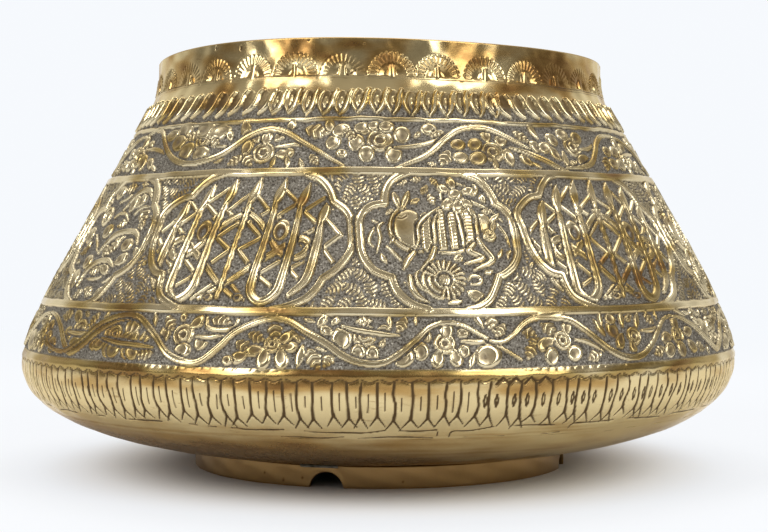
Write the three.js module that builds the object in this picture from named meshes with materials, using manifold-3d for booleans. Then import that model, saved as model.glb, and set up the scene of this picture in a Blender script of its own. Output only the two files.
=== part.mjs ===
// Brass bowl on a low foot ring, raised from one sheet and chased in bands.
// Millimetres, +Z up, origin on the table under the middle of the bowl.
// An azimuth of 0 degrees looks along +Y from the front, and grows towards +X.

import * as THREE from 'three';
import { mergeVertices } from 'three/addons/utils/BufferGeometryUtils.js';
import Module from 'manifold-3d';

const wasm = await Module();
wasm.setup();

// Sizes of the raised sheet
const WALL = 1.2;
const BELLY_RADIUS = 124.7;
const BELLY_HEIGHT = 38;
const CONE_HEIGHT = 86;
const SHOULDER_RADIUS = 81.9;
const NECK_HEIGHT = 17;
const RIM_RADIUS = 78.6;
const LIP_ROUND = 0.4;

// How far each end of a wall curve keeps its own direction
const BASE_SWEEP = 28;
const BASE_RISE = 2.9;
const BELLY_DROP = 19;
const BELLY_LIFT = 13;
const CONE_RUN = 35.5;
const CONE_SLOPE = 0.56;
const NECK_RUN = 5.8;

// Sizes of the foot ring, a strip rolled round and joined end to end
const FOOT_RADIUS = 65.8;
const FOOT_HEIGHT = 7.3;
const FOOT_WALL = 1.4;
const FOOT_EDGE = 0.25;
const NOTCH_RADIUS = 5.7;
const NOTCH_DROP = 0.7;
const NOTCH_COUNT = 4;
const FIRST_NOTCH_AZIMUTH = -15;
const SEAM_AZIMUTH = 132;
const SEAM_WIDTH = 0.9;

// Solder that holds the foot ring under the bowl
const SOLDER_LEG = 2.2;
const SOLDER_RUN_LEG = 0.9;
const SOLDER_RUN_AZIMUTH = -17;
const SOLDER_RUN_SPAN = 11;
const SEAT_GAP = 0.3;

// Raised lines round the wall. Their places go down from the shoulder, one
// band at a time, and the bead's goes up from the belly.
const RIDGE_WIDTH = 2.0;
const RIDGE_LIFT = 0.8;
const NECK_LINE_RISE = 5.2;
const NECK_LINE_WIDTH = 1.2;
const NECK_LINE_DEPTH = 0.25;
const LEAF_BAND_HEIGHT = 8.8;
const UPPER_VINE_HEIGHT = 16.3;
const PANEL_BAND_HEIGHT = 40.6;
const BEAD_RISE = 2.6;
const BEAD_WIDTH = 2.6;
const BEAD_LIFT = 0.45;

// Leaves that hang round the shoulder, their tips a little above their line
const LEAF_COUNT = 100;
const LEAF_LIFT = 0.9;
const LEAF_TIP_RISE = 1.6;
const LEAF_TOP_RISE = 2.2;
const LEAF_LEAN = 0.25;

// Lobed panels, wide and round by turns. The widths are azimuths in degrees
// from a panel's middle, and the spacing drifts wider towards the front.
const PANEL_PAIRS = 6;
const PANEL_FRONT_AZIMUTH = -7.1;
const PANEL_DRIFT = 3.15;
const PANEL_RIB_WIDTH = 2.4;
const PANEL_RIB_LIFT = 1.0;
const PANEL_CUSP_REACH = 11.5;
const PANEL_LOBE_BEND = 0.6;
const WIDE_PANEL = { end: 10.5, cusp: 14.2, lobe: 18.3 };
const ROUND_PANEL = { end: 5.5, cusp: 8.8, lobe: 12.3 };

// Reeds that stand in each wide panel: azimuths from its middle, and how far
// they stay clear of its lower and its upper line
const REEDS = [
  { azimuth: 0, foot: 3.6, tip: 2.5 },
  { azimuth: 4.7, foot: 2.6, tip: 3.3 },
  { azimuth: 9.2, foot: 4.1, tip: 4.7 },
  { azimuth: 13.2, foot: 10.1, tip: 10.9 },
];
const REED_WIDTH = 2.8;
const REED_LIFT = 0.95;

// A fluted flower low in each round panel, and the animal's trunk over it
const ROSETTE_RADIUS = 6.4;
const ROSETTE_LIFT = 0.75;
const ROSETTE_RISE = 8.7;
const ROSETTE_SIDES = 6;
const TRUNK_RISE = 22.6;
const TRUNK_REACH = 6.8;
const TRUNK_WIDTH = 10.5;
const TRUNK_LIFT = 0.9;

// Stems that wave round the wall, given by the azimuths of their crests
const UPPER_WAVES = 9;
const UPPER_CREST_AZIMUTH = -22;
const LOWER_FRONT_CRESTS = [-37.5, -14.5, 8.5];
const LOWER_BACK_WAVES = 12;
const LOWER_BACK_CREST = 24;
const STEM_WIDTH = 1.6;
const STEM_LIFT = 0.8;
const STEM_MARGIN = 2.2;
const STEM_STEPS = 5;

// A round flower stands in each bend of a stem
const FLOWER_RADIUS = 2.8;
const FLOWER_LIFT = 1.0;
const FLOWER_SIDES = 6;
const FLOWER_INSET = 0.38;

// How deep the feet of raised work are sunk in the wall it grows from
const ROOT_DEPTH = 0.6;

// How many facets go round each revolved shape
const BODY_FACETS = 50;
const INNER_FACETS = 32;
const FOOT_FACETS = 56;
const NOTCH_FACETS = 24;

// How many steps each kind of curve is drawn with
const CURVE_STEPS = 6;
const INNER_STEPS = 5;
const PANEL_CURVE_STEPS = 2;
const SOLDER_CURVE_STEPS = 3;
const HEIGHT_SEARCH_STEPS = 40;

// Brass where it is rubbed bright, brass of the foot strip, and grey solder
const BODY_BRASS = new THREE.MeshStandardMaterial({ color: 0xb8954f, metalness: 0.9, roughness: 0.35 });
const FOOT_BRASS = new THREE.MeshStandardMaterial({ color: 0xa8803c, metalness: 0.9, roughness: 0.4 });
const SOLDER = new THREE.MeshStandardMaterial({ color: 0x8a8a80, metalness: 0.6, roughness: 0.6 });

const radians = THREE.MathUtils.degToRad;

// Turns a geometry into one closed solid: shared vertices are merged and
// triangles that collapsed on the axis are dropped.
function solidOf(geometry) {
  const bare = geometry.clone();
  bare.deleteAttribute('normal');
  bare.deleteAttribute('uv');
  const merged = mergeVertices(bare, 1e-4);
  const index = merged.getIndex().array;
  const kept = [];
  for (let i = 0; i < index.length; i += 3) {
    const [a, b, c] = [index[i], index[i + 1], index[i + 2]];
    if (a !== b && b !== c && c !== a) kept.push(a, b, c);
  }
  const mesh = new wasm.Mesh({
    numProp: 3,
    vertProperties: new Float32Array(merged.getAttribute('position').array),
    triVerts: new Uint32Array(kept),
  });
  return new wasm.Manifold(mesh);
}

// Gives a solid back as a geometry with one normal for each vertex.
function geometryOf(solid) {
  const mesh = solid.getMesh();
  const geometry = new THREE.BufferGeometry();
  const positions = new Float32Array(mesh.vertProperties);
  geometry.setAttribute('position', new THREE.BufferAttribute(positions, 3));
  geometry.setIndex(new THREE.BufferAttribute(new Uint32Array(mesh.triVerts), 1));
  geometry.computeVertexNormals();
  return geometry;
}

// Revolves a profile of (radius, height) points round the vertical axis.
function revolve(points, facets) {
  const geometry = new THREE.LatheGeometry(points, facets);
  geometry.rotateX(Math.PI / 2);
  return geometry;
}

// A point at an azimuth in degrees, a radius and a height.
function onAxis(azimuth, radius, height) {
  const angle = radians(azimuth);
  return new THREE.Vector3(radius * Math.sin(angle), -radius * Math.cos(angle), height);
}

const point = (radius, height) => new THREE.Vector2(radius, height);

// Heights of the shoulder, the rim and the lines that part the bands.
const shoulderHeight = BELLY_HEIGHT + CONE_HEIGHT;
const rimHeight = shoulderHeight + NECK_HEIGHT;
const neckLineHeight = shoulderHeight + NECK_LINE_RISE;
const leafLineHeight = shoulderHeight - LEAF_BAND_HEIGHT;
const panelTopHeight = leafLineHeight - UPPER_VINE_HEIGHT;
const panelBaseHeight = panelTopHeight - PANEL_BAND_HEIGHT;
const beadHeight = BELLY_HEIGHT + BEAD_RISE;
const undersideHeight = FOOT_HEIGHT + SEAT_GAP;

// The outside of the sheet: the base sweeps out to the belly, the cone leans
// in to the shoulder, and a short neck rises from it.
const baseCurve = new THREE.CubicBezierCurve(
  point(FOOT_RADIUS, undersideHeight),
  point(FOOT_RADIUS + BASE_SWEEP, undersideHeight + BASE_RISE),
  point(BELLY_RADIUS, BELLY_HEIGHT - BELLY_DROP),
  point(BELLY_RADIUS, BELLY_HEIGHT),
);
const coneCurve = new THREE.CubicBezierCurve(
  point(BELLY_RADIUS, BELLY_HEIGHT),
  point(BELLY_RADIUS, BELLY_HEIGHT + BELLY_LIFT),
  point(SHOULDER_RADIUS + CONE_RUN * CONE_SLOPE, shoulderHeight - CONE_RUN),
  point(SHOULDER_RADIUS, shoulderHeight),
);
const neckCurve = new THREE.CubicBezierCurve(
  point(SHOULDER_RADIUS, shoulderHeight),
  point(SHOULDER_RADIUS - NECK_RUN * CONE_SLOPE, shoulderHeight + NECK_RUN),
  point(RIM_RADIUS, rimHeight - NECK_RUN),
  point(RIM_RADIUS, rimHeight),
);

// The place on a rising wall curve at one height, moved out square to the
// wall by a lift. Halving the curve's parameter finds the height.
function wallPoint(height, lift) {
  const curve = height > shoulderHeight ? neckCurve : coneCurve;
  let low = 0;
  let high = 1;
  for (let step = 0; step < HEIGHT_SEARCH_STEPS; step += 1) {
    const middle = (low + high) / 2;
    if (curve.getPoint(middle).y < height) low = middle;
    else high = middle;
  }
  const tangent = curve.getTangent((low + high) / 2);
  const place = curve.getPoint((low + high) / 2);
  return point(place.x + tangent.y * lift, place.y - tangent.x * lift);
}

// Profile rows of a raised line, or of a sunk one when its lift is negative.
function lineRows(height, width, lift) {
  return [
    wallPoint(height - width / 2, 0),
    wallPoint(height, lift),
    wallPoint(height + width / 2, 0),
  ];
}

// The outer profile below the leaves, from the edge of the flat underside.
function wallProfile() {
  const panelMiddle = (panelTopHeight + panelBaseHeight) / 2;
  return [
    ...baseCurve.getPoints(CURVE_STEPS),
    ...lineRows(beadHeight, BEAD_WIDTH, BEAD_LIFT),
    wallPoint((beadHeight + panelBaseHeight) / 2, 0),
    ...lineRows(panelBaseHeight, RIDGE_WIDTH, RIDGE_LIFT),
    wallPoint(panelMiddle, 0),
    ...lineRows(panelTopHeight, RIDGE_WIDTH, RIDGE_LIFT),
    ...lineRows(leafLineHeight, RIDGE_WIDTH, RIDGE_LIFT),
  ];
}

// The outer profile above the leaves, up to the lip.
function neckProfile() {
  return [
    wallPoint(shoulderHeight + LEAF_TOP_RISE, 0),
    ...lineRows(neckLineHeight, NECK_LINE_WIDTH, -NECK_LINE_DEPTH),
    wallPoint((neckLineHeight + rimHeight) / 2, 0),
    point(RIM_RADIUS, rimHeight - LIP_ROUND),
    point(RIM_RADIUS - LIP_ROUND, rimHeight),
  ];
}

// The inner profile, one wall in from the same curves, from the lip down.
function innerProfile() {
  const inset = (curve, t) => {
    const place = curve.getPoint(t);
    const tangent = curve.getTangent(t);
    return point(place.x - tangent.y * WALL, place.y + tangent.x * WALL);
  };
  const steps = [...Array(INNER_STEPS).keys()].map((step) => 1 - step / INNER_STEPS);
  return [
    point(RIM_RADIUS - WALL, rimHeight - LIP_ROUND),
    inset(neckCurve, 0.5),
    ...steps.map((t) => inset(coneCurve, t)),
    ...steps.map((t) => inset(baseCurve, t)),
    point(FOOT_RADIUS, undersideHeight + WALL),
  ];
}

// A point on the wall at an azimuth and a height, moved out by a lift.
function onWall(azimuth, height, lift) {
  const place = wallPoint(height, lift);
  return onAxis(azimuth, place.x, place.y);
}

// Joins loops of points, all with the same count, into one closed geometry.
// The last loop is joined to the first, or both ends are closed with fans.
function joinLoops(loops, endless) {
  const count = loops[0].length;
  const indices = [];
  const spans = endless ? loops.length : loops.length - 1;
  for (let i = 0; i < spans; i += 1) {
    const here = i * count;
    const next = ((i + 1) % loops.length) * count;
    for (let j = 0; j < count; j += 1) {
      const k = (j + 1) % count;
      indices.push(here + j, here + k, next + j);
      indices.push(here + k, next + k, next + j);
    }
  }
  const last = (loops.length - 1) * count;
  for (let j = 1; !endless && j < count - 1; j += 1) {
    indices.push(0, j + 1, j);
    indices.push(last, last + j, last + j + 1);
  }
  const geometry = new THREE.BufferGeometry().setFromPoints(loops.flat());
  geometry.setIndex(indices);
  return geometry;
}

// A raised rib with a sharp crest that follows a route of (azimuth, height)
// points over the wall, its two feet sunk in it.
function rib(route, width, lift, endless = false) {
  const count = route.length;
  const pick = (i) => (endless ? (i + count) % count : Math.min(Math.max(i, 0), count - 1));
  const loops = route.map((place, i) => {
    const before = route[pick(i - 1)];
    const after = route[pick(i + 1)];
    const foot = onWall(place.x, place.y, 0);
    const out = onWall(place.x, place.y, 1).sub(foot);
    const travel = onWall(after.x, after.y, 0).sub(onWall(before.x, before.y, 0));
    const across = travel.cross(out).setLength(width / 2);
    const root = foot.clone().addScaledVector(out, -ROOT_DEPTH);
    return [root.clone().sub(across), foot.addScaledVector(out, lift), root.add(across)];
  });
  return solidOf(joinLoops(loops, endless));
}

// One ring of points round the axis at a place in the profile.
function plainRing(place, facets) {
  const azimuths = [...Array(facets).keys()].map((facet) => (facet * 360) / facets);
  return azimuths.map((azimuth) => onAxis(azimuth, place.x, place.y));
}

// The rings of the hanging leaves: each leaf has a crest down its middle and
// a trough on each side, and leans a little towards its top.
function leafRings() {
  const pitch = 360 / LEAF_COUNT;
  const tip = leafLineHeight + LEAF_TIP_RISE;
  const top = shoulderHeight + LEAF_TOP_RISE;
  const rows = [
    { share: 0, crest: 0.1, trough: 0 },
    { share: 0.5, crest: 1, trough: 0.15 },
    { share: 0.85, crest: 0.8, trough: 0.1 },
  ];
  return rows.map(({ share, crest, trough }) => {
    const height = THREE.MathUtils.lerp(tip, top, share);
    const ring = [];
    for (let leaf = 0; leaf < LEAF_COUNT; leaf += 1) {
      const azimuth = (leaf + LEAF_LEAN * share) * pitch;
      ring.push(onWall(azimuth, height, crest * LEAF_LIFT));
      ring.push(onWall(azimuth + pitch / 2, height, trough * LEAF_LIFT));
    }
    return ring;
  });
}

// Joins rings of points into one closed geometry, from a single point at one
// end to a single point at the other. Rings may differ in count: the walk
// round each pair moves on whichever ring is behind.
function joinRings(rings) {
  const indices = [];
  let start = 0;
  for (let r = 0; r + 1 < rings.length; r += 1) {
    const [near, far] = [rings[r].length, rings[r + 1].length];
    const next = start + near;
    const nearSteps = near > 1 ? near : 0;
    const farSteps = far > 1 ? far : 0;
    let i = 0;
    let j = 0;
    while (i < nearSteps || j < farSteps) {
      const nearBehind = (i + 0.5) * farSteps <= (j + 0.5) * nearSteps;
      if (j === farSteps || (i < nearSteps && nearBehind)) {
        indices.push(start + i, start + ((i + 1) % near), next + (j % far));
        i += 1;
      } else {
        indices.push(start + (i % near), next + ((j + 1) % far), next + (j % far));
        j += 1;
      }
    }
    start = next;
  }
  const geometry = new THREE.BufferGeometry().setFromPoints(rings.flat());
  geometry.setIndex(indices);
  return geometry;
}

// The azimuth of a panel's middle, counted from the front. Even numbers are
// round panels and odd ones are wide.
function panelAzimuth(number) {
  const even = ((number + 0.5) * 360) / (2 * PANEL_PAIRS);
  return PANEL_FRONT_AZIMUTH + even + PANEL_DRIFT * Math.sin(radians(even));
}

// One side of a lobed panel, from its lower line in to a cusp, out round the
// lobe and back in to a cusp below the upper line. A side is 1 or -1, and the
// bend says how far up the cusps the lobe's own curve pulls.
function panelSide(azimuth, panel, side) {
  const middle = (panelTopHeight + panelBaseHeight) / 2;
  const cuspLow = middle - PANEL_CUSP_REACH;
  const cuspHigh = middle + PANEL_CUSP_REACH;
  const bend = PANEL_CUSP_REACH * PANEL_LOBE_BEND;
  const out = (width) => azimuth + side * width;
  const path = new THREE.Path();
  path.moveTo(out(panel.end), panelBaseHeight);
  path.quadraticCurveTo(out(panel.cusp), panelBaseHeight, out(panel.cusp), cuspLow);
  path.quadraticCurveTo(out(panel.lobe), middle - bend, out(panel.lobe), middle);
  path.quadraticCurveTo(out(panel.lobe), middle + bend, out(panel.cusp), cuspHigh);
  path.quadraticCurveTo(out(panel.cusp), panelTopHeight, out(panel.end), panelTopHeight);
  return rib(path.getPoints(PANEL_CURVE_STEPS), PANEL_RIB_WIDTH, PANEL_RIB_LIFT);
}

// The reeds of a wide panel, the outer ones on both sides of its middle.
function reeds(azimuth) {
  return REEDS.flatMap((reed) => {
    const foot = panelBaseHeight + reed.foot;
    const tip = panelTopHeight - reed.tip;
    const sides = reed.azimuth === 0 ? [1] : [1, -1];
    return sides.map((side) => {
      const turn = azimuth + side * reed.azimuth;
      return rib([point(turn, foot), point(turn, tip)], REED_WIDTH, REED_LIFT);
    });
  });
}

// The flower of a round panel and the trunk of the animal that stands over it.
function roundelWork(azimuth) {
  const height = panelBaseHeight + TRUNK_RISE;
  const route = [-1, 0, 1].map((side) => point(azimuth + side * TRUNK_REACH, height));
  return [
    boss(azimuth, panelBaseHeight + ROSETTE_RISE, ROSETTE_RADIUS, ROSETTE_LIFT, ROSETTE_SIDES),
    rib(route, TRUNK_WIDTH, TRUNK_LIFT),
  ];
}

function panels() {
  const parts = [];
  for (let number = 0; number < 2 * PANEL_PAIRS; number += 1) {
    const wide = number % 2 === 1;
    const azimuth = panelAzimuth(number);
    const panel = wide ? WIDE_PANEL : ROUND_PANEL;
    parts.push(panelSide(azimuth, panel, 1), panelSide(azimuth, panel, -1));
    parts.push(...(wide ? reeds(azimuth) : roundelWork(azimuth)));
  }
  return parts;
}

// Crest azimuths of the two stems, once round the bowl.
function upperCrests() {
  const crests = [];
  for (let i = 0; i < UPPER_WAVES; i += 1) crests.push(UPPER_CREST_AZIMUTH + (i * 360) / UPPER_WAVES);
  return crests;
}

function lowerCrests() {
  const crests = [...LOWER_FRONT_CRESTS];
  const reach = LOWER_FRONT_CRESTS[0] + 360 - LOWER_BACK_CREST;
  for (let i = 0; i < LOWER_BACK_WAVES; i += 1) {
    crests.push(LOWER_BACK_CREST + (i * reach) / LOWER_BACK_WAVES);
  }
  return crests;
}

// A stem that waves between two lines, with a flower in each bend.
function vine(crests, low, high) {
  const middle = (low + high) / 2;
  const swing = (high - low) / 2 - STEM_MARGIN;
  const route = [];
  const flowers = [];
  crests.forEach((crest, i) => {
    const next = i + 1 < crests.length ? crests[i + 1] : crests[0] + 360;
    for (let step = 0; step < STEM_STEPS; step += 1) {
      const share = step / STEM_STEPS;
      const height = middle + swing * Math.cos(2 * Math.PI * share);
      route.push(point(THREE.MathUtils.lerp(crest, next, share), height));
    }
    const inset = FLOWER_INSET * (high - low);
    const places = [point(crest, low + inset), point((crest + next) / 2, high - inset)];
    flowers.push(...places.map(({ x, y }) => boss(x, y, FLOWER_RADIUS, FLOWER_LIFT, FLOWER_SIDES)));
  });
  return [rib(route, STEM_WIDTH, STEM_LIFT, true), ...flowers];
}

// A low boss with flat sides, its root sunk in the wall.
function boss(azimuth, height, radius, lift, sides) {
  const tall = lift + ROOT_DEPTH;
  const cone = new THREE.ConeGeometry(radius, tall, sides);
  const foot = onWall(azimuth, height, 0);
  const out = onWall(azimuth, height, 1).sub(foot);
  cone.applyQuaternion(new THREE.Quaternion().setFromUnitVectors(new THREE.Vector3(0, 1, 0), out));
  const middle = foot.addScaledVector(out, tall / 2 - ROOT_DEPTH);
  cone.translate(middle.x, middle.y, middle.z);
  return solidOf(cone);
}

function vesselBody() {
  const outer = (place) => plainRing(place, BODY_FACETS);
  const sheet = joinRings([
    [onAxis(0, 0, undersideHeight)],
    ...wallProfile().map(outer),
    ...leafRings(),
    ...neckProfile().map(outer),
    plainRing(point(RIM_RADIUS - WALL + LIP_ROUND, rimHeight), BODY_FACETS),
    ...innerProfile().map((place) => plainRing(place, INNER_FACETS)),
    [onAxis(0, 0, undersideHeight + WALL)],
  ]);
  const chased = [
    ...panels(),
    ...vine(upperCrests(), panelTopHeight, leafLineHeight),
    ...vine(lowerCrests(), beadHeight, panelBaseHeight),
  ];
  return geometryOf(wasm.Manifold.union([solidOf(sheet), ...chased]));
}

// The foot strip's section, with its four edges eased.
function footSection() {
  const inner = FOOT_RADIUS - FOOT_WALL;
  return [
    point(inner + FOOT_EDGE, 0),
    point(FOOT_RADIUS - FOOT_EDGE, 0),
    point(FOOT_RADIUS, FOOT_EDGE),
    point(FOOT_RADIUS, FOOT_HEIGHT - FOOT_EDGE),
    point(FOOT_RADIUS - FOOT_EDGE, FOOT_HEIGHT),
    point(inner + FOOT_EDGE, FOOT_HEIGHT),
    point(inner, FOOT_HEIGHT - FOOT_EDGE),
    point(inner, FOOT_EDGE),
    point(inner + FOOT_EDGE, 0),
  ];
}

// A round cutter laid along the radius at one azimuth, low on the strip.
function notchCutter(azimuth) {
  const length = 6 * FOOT_WALL;
  const cutter = new THREE.CylinderGeometry(NOTCH_RADIUS, NOTCH_RADIUS, length, NOTCH_FACETS);
  cutter.rotateZ(radians(azimuth));
  const middle = onAxis(azimuth, FOOT_RADIUS - FOOT_WALL / 2, -NOTCH_DROP);
  cutter.translate(middle.x, middle.y, middle.z);
  return solidOf(cutter);
}

// A thin upright block across the strip where its ends meet.
function seamBlock(width) {
  const block = new THREE.BoxGeometry(width, 6 * FOOT_WALL, 4 * FOOT_HEIGHT);
  block.rotateZ(radians(SEAM_AZIMUTH));
  const middle = onAxis(SEAM_AZIMUTH, FOOT_RADIUS - FOOT_WALL / 2, FOOT_HEIGHT / 2);
  block.translate(middle.x, middle.y, middle.z);
  return solidOf(block);
}

function footRing() {
  let ring = solidOf(revolve(footSection(), FOOT_FACETS));
  for (let notch = 0; notch < NOTCH_COUNT; notch += 1) {
    const azimuth = FIRST_NOTCH_AZIMUTH + (notch * 360) / NOTCH_COUNT;
    ring = ring.subtract(notchCutter(azimuth));
  }
  return geometryOf(ring.subtract(seamBlock(SEAM_WIDTH + 2 * SEAT_GAP)));
}

function footRingSeam() {
  const ring = solidOf(revolve(footSection(), FOOT_FACETS));
  return geometryOf(ring.intersect(seamBlock(SEAM_WIDTH)));
}

// A hollow fillet in the corner under the bowl: one leg lies along the foot
// wall and one along the underside. A side of 1 is outside the ring, -1 inside.
function filletSection(cornerRadius, leg, side) {
  const top = FOOT_HEIGHT;
  const face = new THREE.QuadraticBezierCurve(
    point(cornerRadius, top - leg),
    point(cornerRadius + side * leg * 0.25, top - leg * 0.25),
    point(cornerRadius + side * leg, top),
  );
  const rows = [...face.getPoints(SOLDER_CURVE_STEPS), point(cornerRadius, top)];
  if (side < 0) rows.reverse();
  return [...rows, rows[0].clone()];
}

function footSolder() {
  const corner = FOOT_RADIUS - FOOT_WALL - SEAT_GAP;
  return revolve(filletSection(corner, SOLDER_LEG, -1), FOOT_FACETS);
}

// A short run of solder left outside the ring, cut from a whole fillet by a
// wedge that spans its azimuths.
function footSolderRun() {
  const section = filletSection(FOOT_RADIUS + SEAT_GAP, SOLDER_RUN_LEG, 1);
  const reach = 2 * FOOT_RADIUS;
  const half = SOLDER_RUN_SPAN / 2;
  const outline = new THREE.Shape([
    new THREE.Vector2(0, 0),
    new THREE.Vector2(...onAxis(SOLDER_RUN_AZIMUTH - half, reach, 0).toArray()),
    new THREE.Vector2(...onAxis(SOLDER_RUN_AZIMUTH + half, reach, 0).toArray()),
  ]);
  const wedge = new THREE.ExtrudeGeometry(outline, { depth: 2 * FOOT_HEIGHT, bevelEnabled: false });
  return geometryOf(solidOf(revolve(section, FOOT_FACETS)).intersect(solidOf(wedge)));
}

function named(name, geometry, material) {
  const mesh = new THREE.Mesh(geometry, material);
  mesh.name = name;
  return mesh;
}

const bowl = new THREE.Group();
bowl.add(
  named('vessel_body', vesselBody(), BODY_BRASS),
  named('foot_ring', footRing(), FOOT_BRASS),
  named('foot_ring_seam', footRingSeam(), SOLDER),
  named('foot_solder', footSolder(), SOLDER),
  named('foot_solder_run', footSolderRun(), SOLDER),
);

export default bowl;
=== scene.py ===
"""Blender scene of a chased brass bowl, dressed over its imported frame.

Lengths are millimetres until a mesh is made. An azimuth of 0 degrees faces the
camera, along -Y, and grows towards +X. A place on the wall is an azimuth and
either a height above the table or an arc, the way up the wall's outer face.
"""

import logging
import math
from dataclasses import dataclass, field
from enum import Enum
from typing import Any, Iterable, Optional, Sequence

import bpy
import numpy as np
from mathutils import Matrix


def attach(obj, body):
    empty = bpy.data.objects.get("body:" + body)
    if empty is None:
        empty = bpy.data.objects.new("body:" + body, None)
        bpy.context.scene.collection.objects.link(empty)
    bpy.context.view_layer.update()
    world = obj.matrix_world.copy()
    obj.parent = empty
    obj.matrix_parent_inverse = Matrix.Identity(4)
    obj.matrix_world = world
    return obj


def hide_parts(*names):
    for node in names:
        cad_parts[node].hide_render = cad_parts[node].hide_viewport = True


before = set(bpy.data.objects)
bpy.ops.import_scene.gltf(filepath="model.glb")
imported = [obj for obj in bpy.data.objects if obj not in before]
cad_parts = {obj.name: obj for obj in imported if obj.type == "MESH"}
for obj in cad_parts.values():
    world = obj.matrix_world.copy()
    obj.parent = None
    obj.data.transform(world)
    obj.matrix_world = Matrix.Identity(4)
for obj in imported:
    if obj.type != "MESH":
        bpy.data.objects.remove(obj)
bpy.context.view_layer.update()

Array = np.ndarray
Knots = Sequence[Sequence[float]]

MM = 0.001
ANY_PHASE = (0.0, 6.28)

log = logging.getLogger("bowl")


# ---------------------------------------------------------------- curves


def bezier(corners: Knots, share: Array) -> Array:
    """Cubic curve: the corners weighted by (1-t)^3, 3t(1-t)^2, 3t^2(1-t) and t^3.

    Args:
        corners: Four corners, each a pair of numbers.
        share: How far along the curve each point lies, from 0 to 1.

    Returns:
        One row of two numbers for each share.
    """
    a, b, c, d = np.asarray(corners, float)
    t = share[:, None]
    return (1 - t) ** 3 * a + 3 * t * (1 - t) ** 2 * b + 3 * t**2 * (1 - t) * c + t**3 * d


def flowing(knots: Array, steps: int) -> Array:
    """Smooth curve through every knot, each span a cubic set by its two neighbours.

    Args:
        knots: One row of two numbers for each knot.
        steps: How many points each span gets.

    Returns:
        The points of the curve, the last knot included.
    """
    first = 2 * knots[0] - knots[1]
    last = 2 * knots[-1] - knots[-2]
    line = np.vstack((first, knots, last))
    a, b, c, d = line[:-3], line[1:-2], line[2:-1], line[3:]
    t = (np.arange(steps) / steps)[:, None, None]
    curve = 0.5 * (2 * b + (c - a) * t + (2 * a - 5 * b + 4 * c - d) * t**2)
    curve = curve + 0.5 * (3 * b - 3 * c + d - a) * t**3
    return np.vstack((curve.transpose(1, 0, 2).reshape(-1, 2), knots[-1]))


def ease(value: Array, low: float, high: float) -> Array:
    """Smooth step: 0 below low, 1 above high, and 3t^2 - 2t^3 between them."""
    t = np.clip((value - low) / (high - low), 0.0, 1.0)
    return t * t * (3 - 2 * t)


def between(value: Array, low: float, full: float, spent: float, high: float) -> Array:
    """Eases up from low to full and down from spent to high; 0 outside and 1 in the middle."""
    return ease(value, low, full) * ease(-value, -high, -spent)


def signed(azimuth: Any) -> Any:
    """The same azimuths, brought to between -180 and 180 degrees."""
    return (azimuth + 180.0) % 360.0 - 180.0


def unit(ways: Array) -> Array:
    """Vectors over their own lengths."""
    return ways / np.linalg.norm(ways, axis=-1, keepdims=True)


def blurred(values: Array, reach: int) -> Array:
    """Mean of the cells within reach rows and columns, the columns going round.

    Args:
        values: A grid of rows by columns.
        reach: How many cells to each side are counted.

    Returns:
        A grid of the same shape.
    """
    size = 2 * reach + 1
    tall = np.pad(values, ((reach + 1, reach), (0, 0)), mode="edge").cumsum(axis=0)
    tall = (tall[size:] - tall[:-size]) / size
    wide = np.pad(tall, ((0, 0), (reach + 1, reach)), mode="wrap").cumsum(axis=1)
    return (wide[:, size:] - wide[:, :-size]) / size


# ---------------------------------------------------------------- the raised sheet


@dataclass(frozen=True)
class WallPlan:
    """Sizes of the raised sheet; each curve has four (radius, height) corners."""

    base: Knots = ((65.8, 7.6), (93.8, 10.5), (124.7, 19.0), (124.7, 38.0))
    cone: Knots = ((124.7, 38.0), (124.7, 51.0), (101.78, 88.5), (81.9, 124.0))
    neck: Knots = ((81.9, 124.0), (78.65, 129.8), (78.6, 135.2), (78.6, 141.0))
    thickness: float = 1.2
    samples: int = 500


class Wall:
    """The sheet's outer face as a profile that is turned about the bowl's axis."""

    def __init__(self, plan: WallPlan) -> None:
        """Samples the three curves of the plan and measures the way up along them.

        Args:
            plan: The sheet's sizes.
        """
        share = np.linspace(0.0, 1.0, plan.samples)
        curves = [bezier(plan.base, share), bezier(plan.cone, share)[1:]]
        line = np.vstack(curves + [bezier(plan.neck, share)[1:]])
        step = np.hypot(*np.diff(line, axis=0).T)
        self.thickness = plan.thickness
        self.arc = np.concatenate(([0.0], np.cumsum(step)))
        self.radius, self.height = line.T
        run, rise = np.gradient(line, self.arc, axis=0).T
        length = np.hypot(run, rise)
        self.out = rise / length
        self.up = -run / length

    def arc_at(self, height: Any) -> Any:
        """The way up the wall at a height."""
        return np.interp(height, self.height, self.arc)

    def height_at(self, arc: Any) -> Any:
        """The height at a way up the wall."""
        return np.interp(arc, self.arc, self.height)

    def radius_at(self, arc: Any) -> Any:
        """The radius at a way up the wall."""
        return np.interp(arc, self.arc, self.radius)

    def face(self, arc: Array, lift: Any = 0.0) -> tuple[Array, Array]:
        """Radius and height of points that stand off the wall along its normal.

        Args:
            arc: The way up the wall.
            lift: How far each point stands off, less than 0 for inwards.

        Returns:
            The radii and the heights.
        """
        out = np.interp(arc, self.arc, self.out)
        up = np.interp(arc, self.arc, self.up)
        return self.radius_at(arc) + lift * out, self.height_at(arc) + lift * up


@dataclass(frozen=True)
class Wave:
    """So many waves round the bowl, so high, with a crest at an azimuth."""

    count: int
    swing: float
    azimuth: float

    def at(self, azimuth: Array) -> Array:
        """Swing*cos(count*(azimuth - crest)), the azimuth in radians."""
        return self.swing * np.cos(self.count * (azimuth - math.radians(self.azimuth)))


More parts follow.
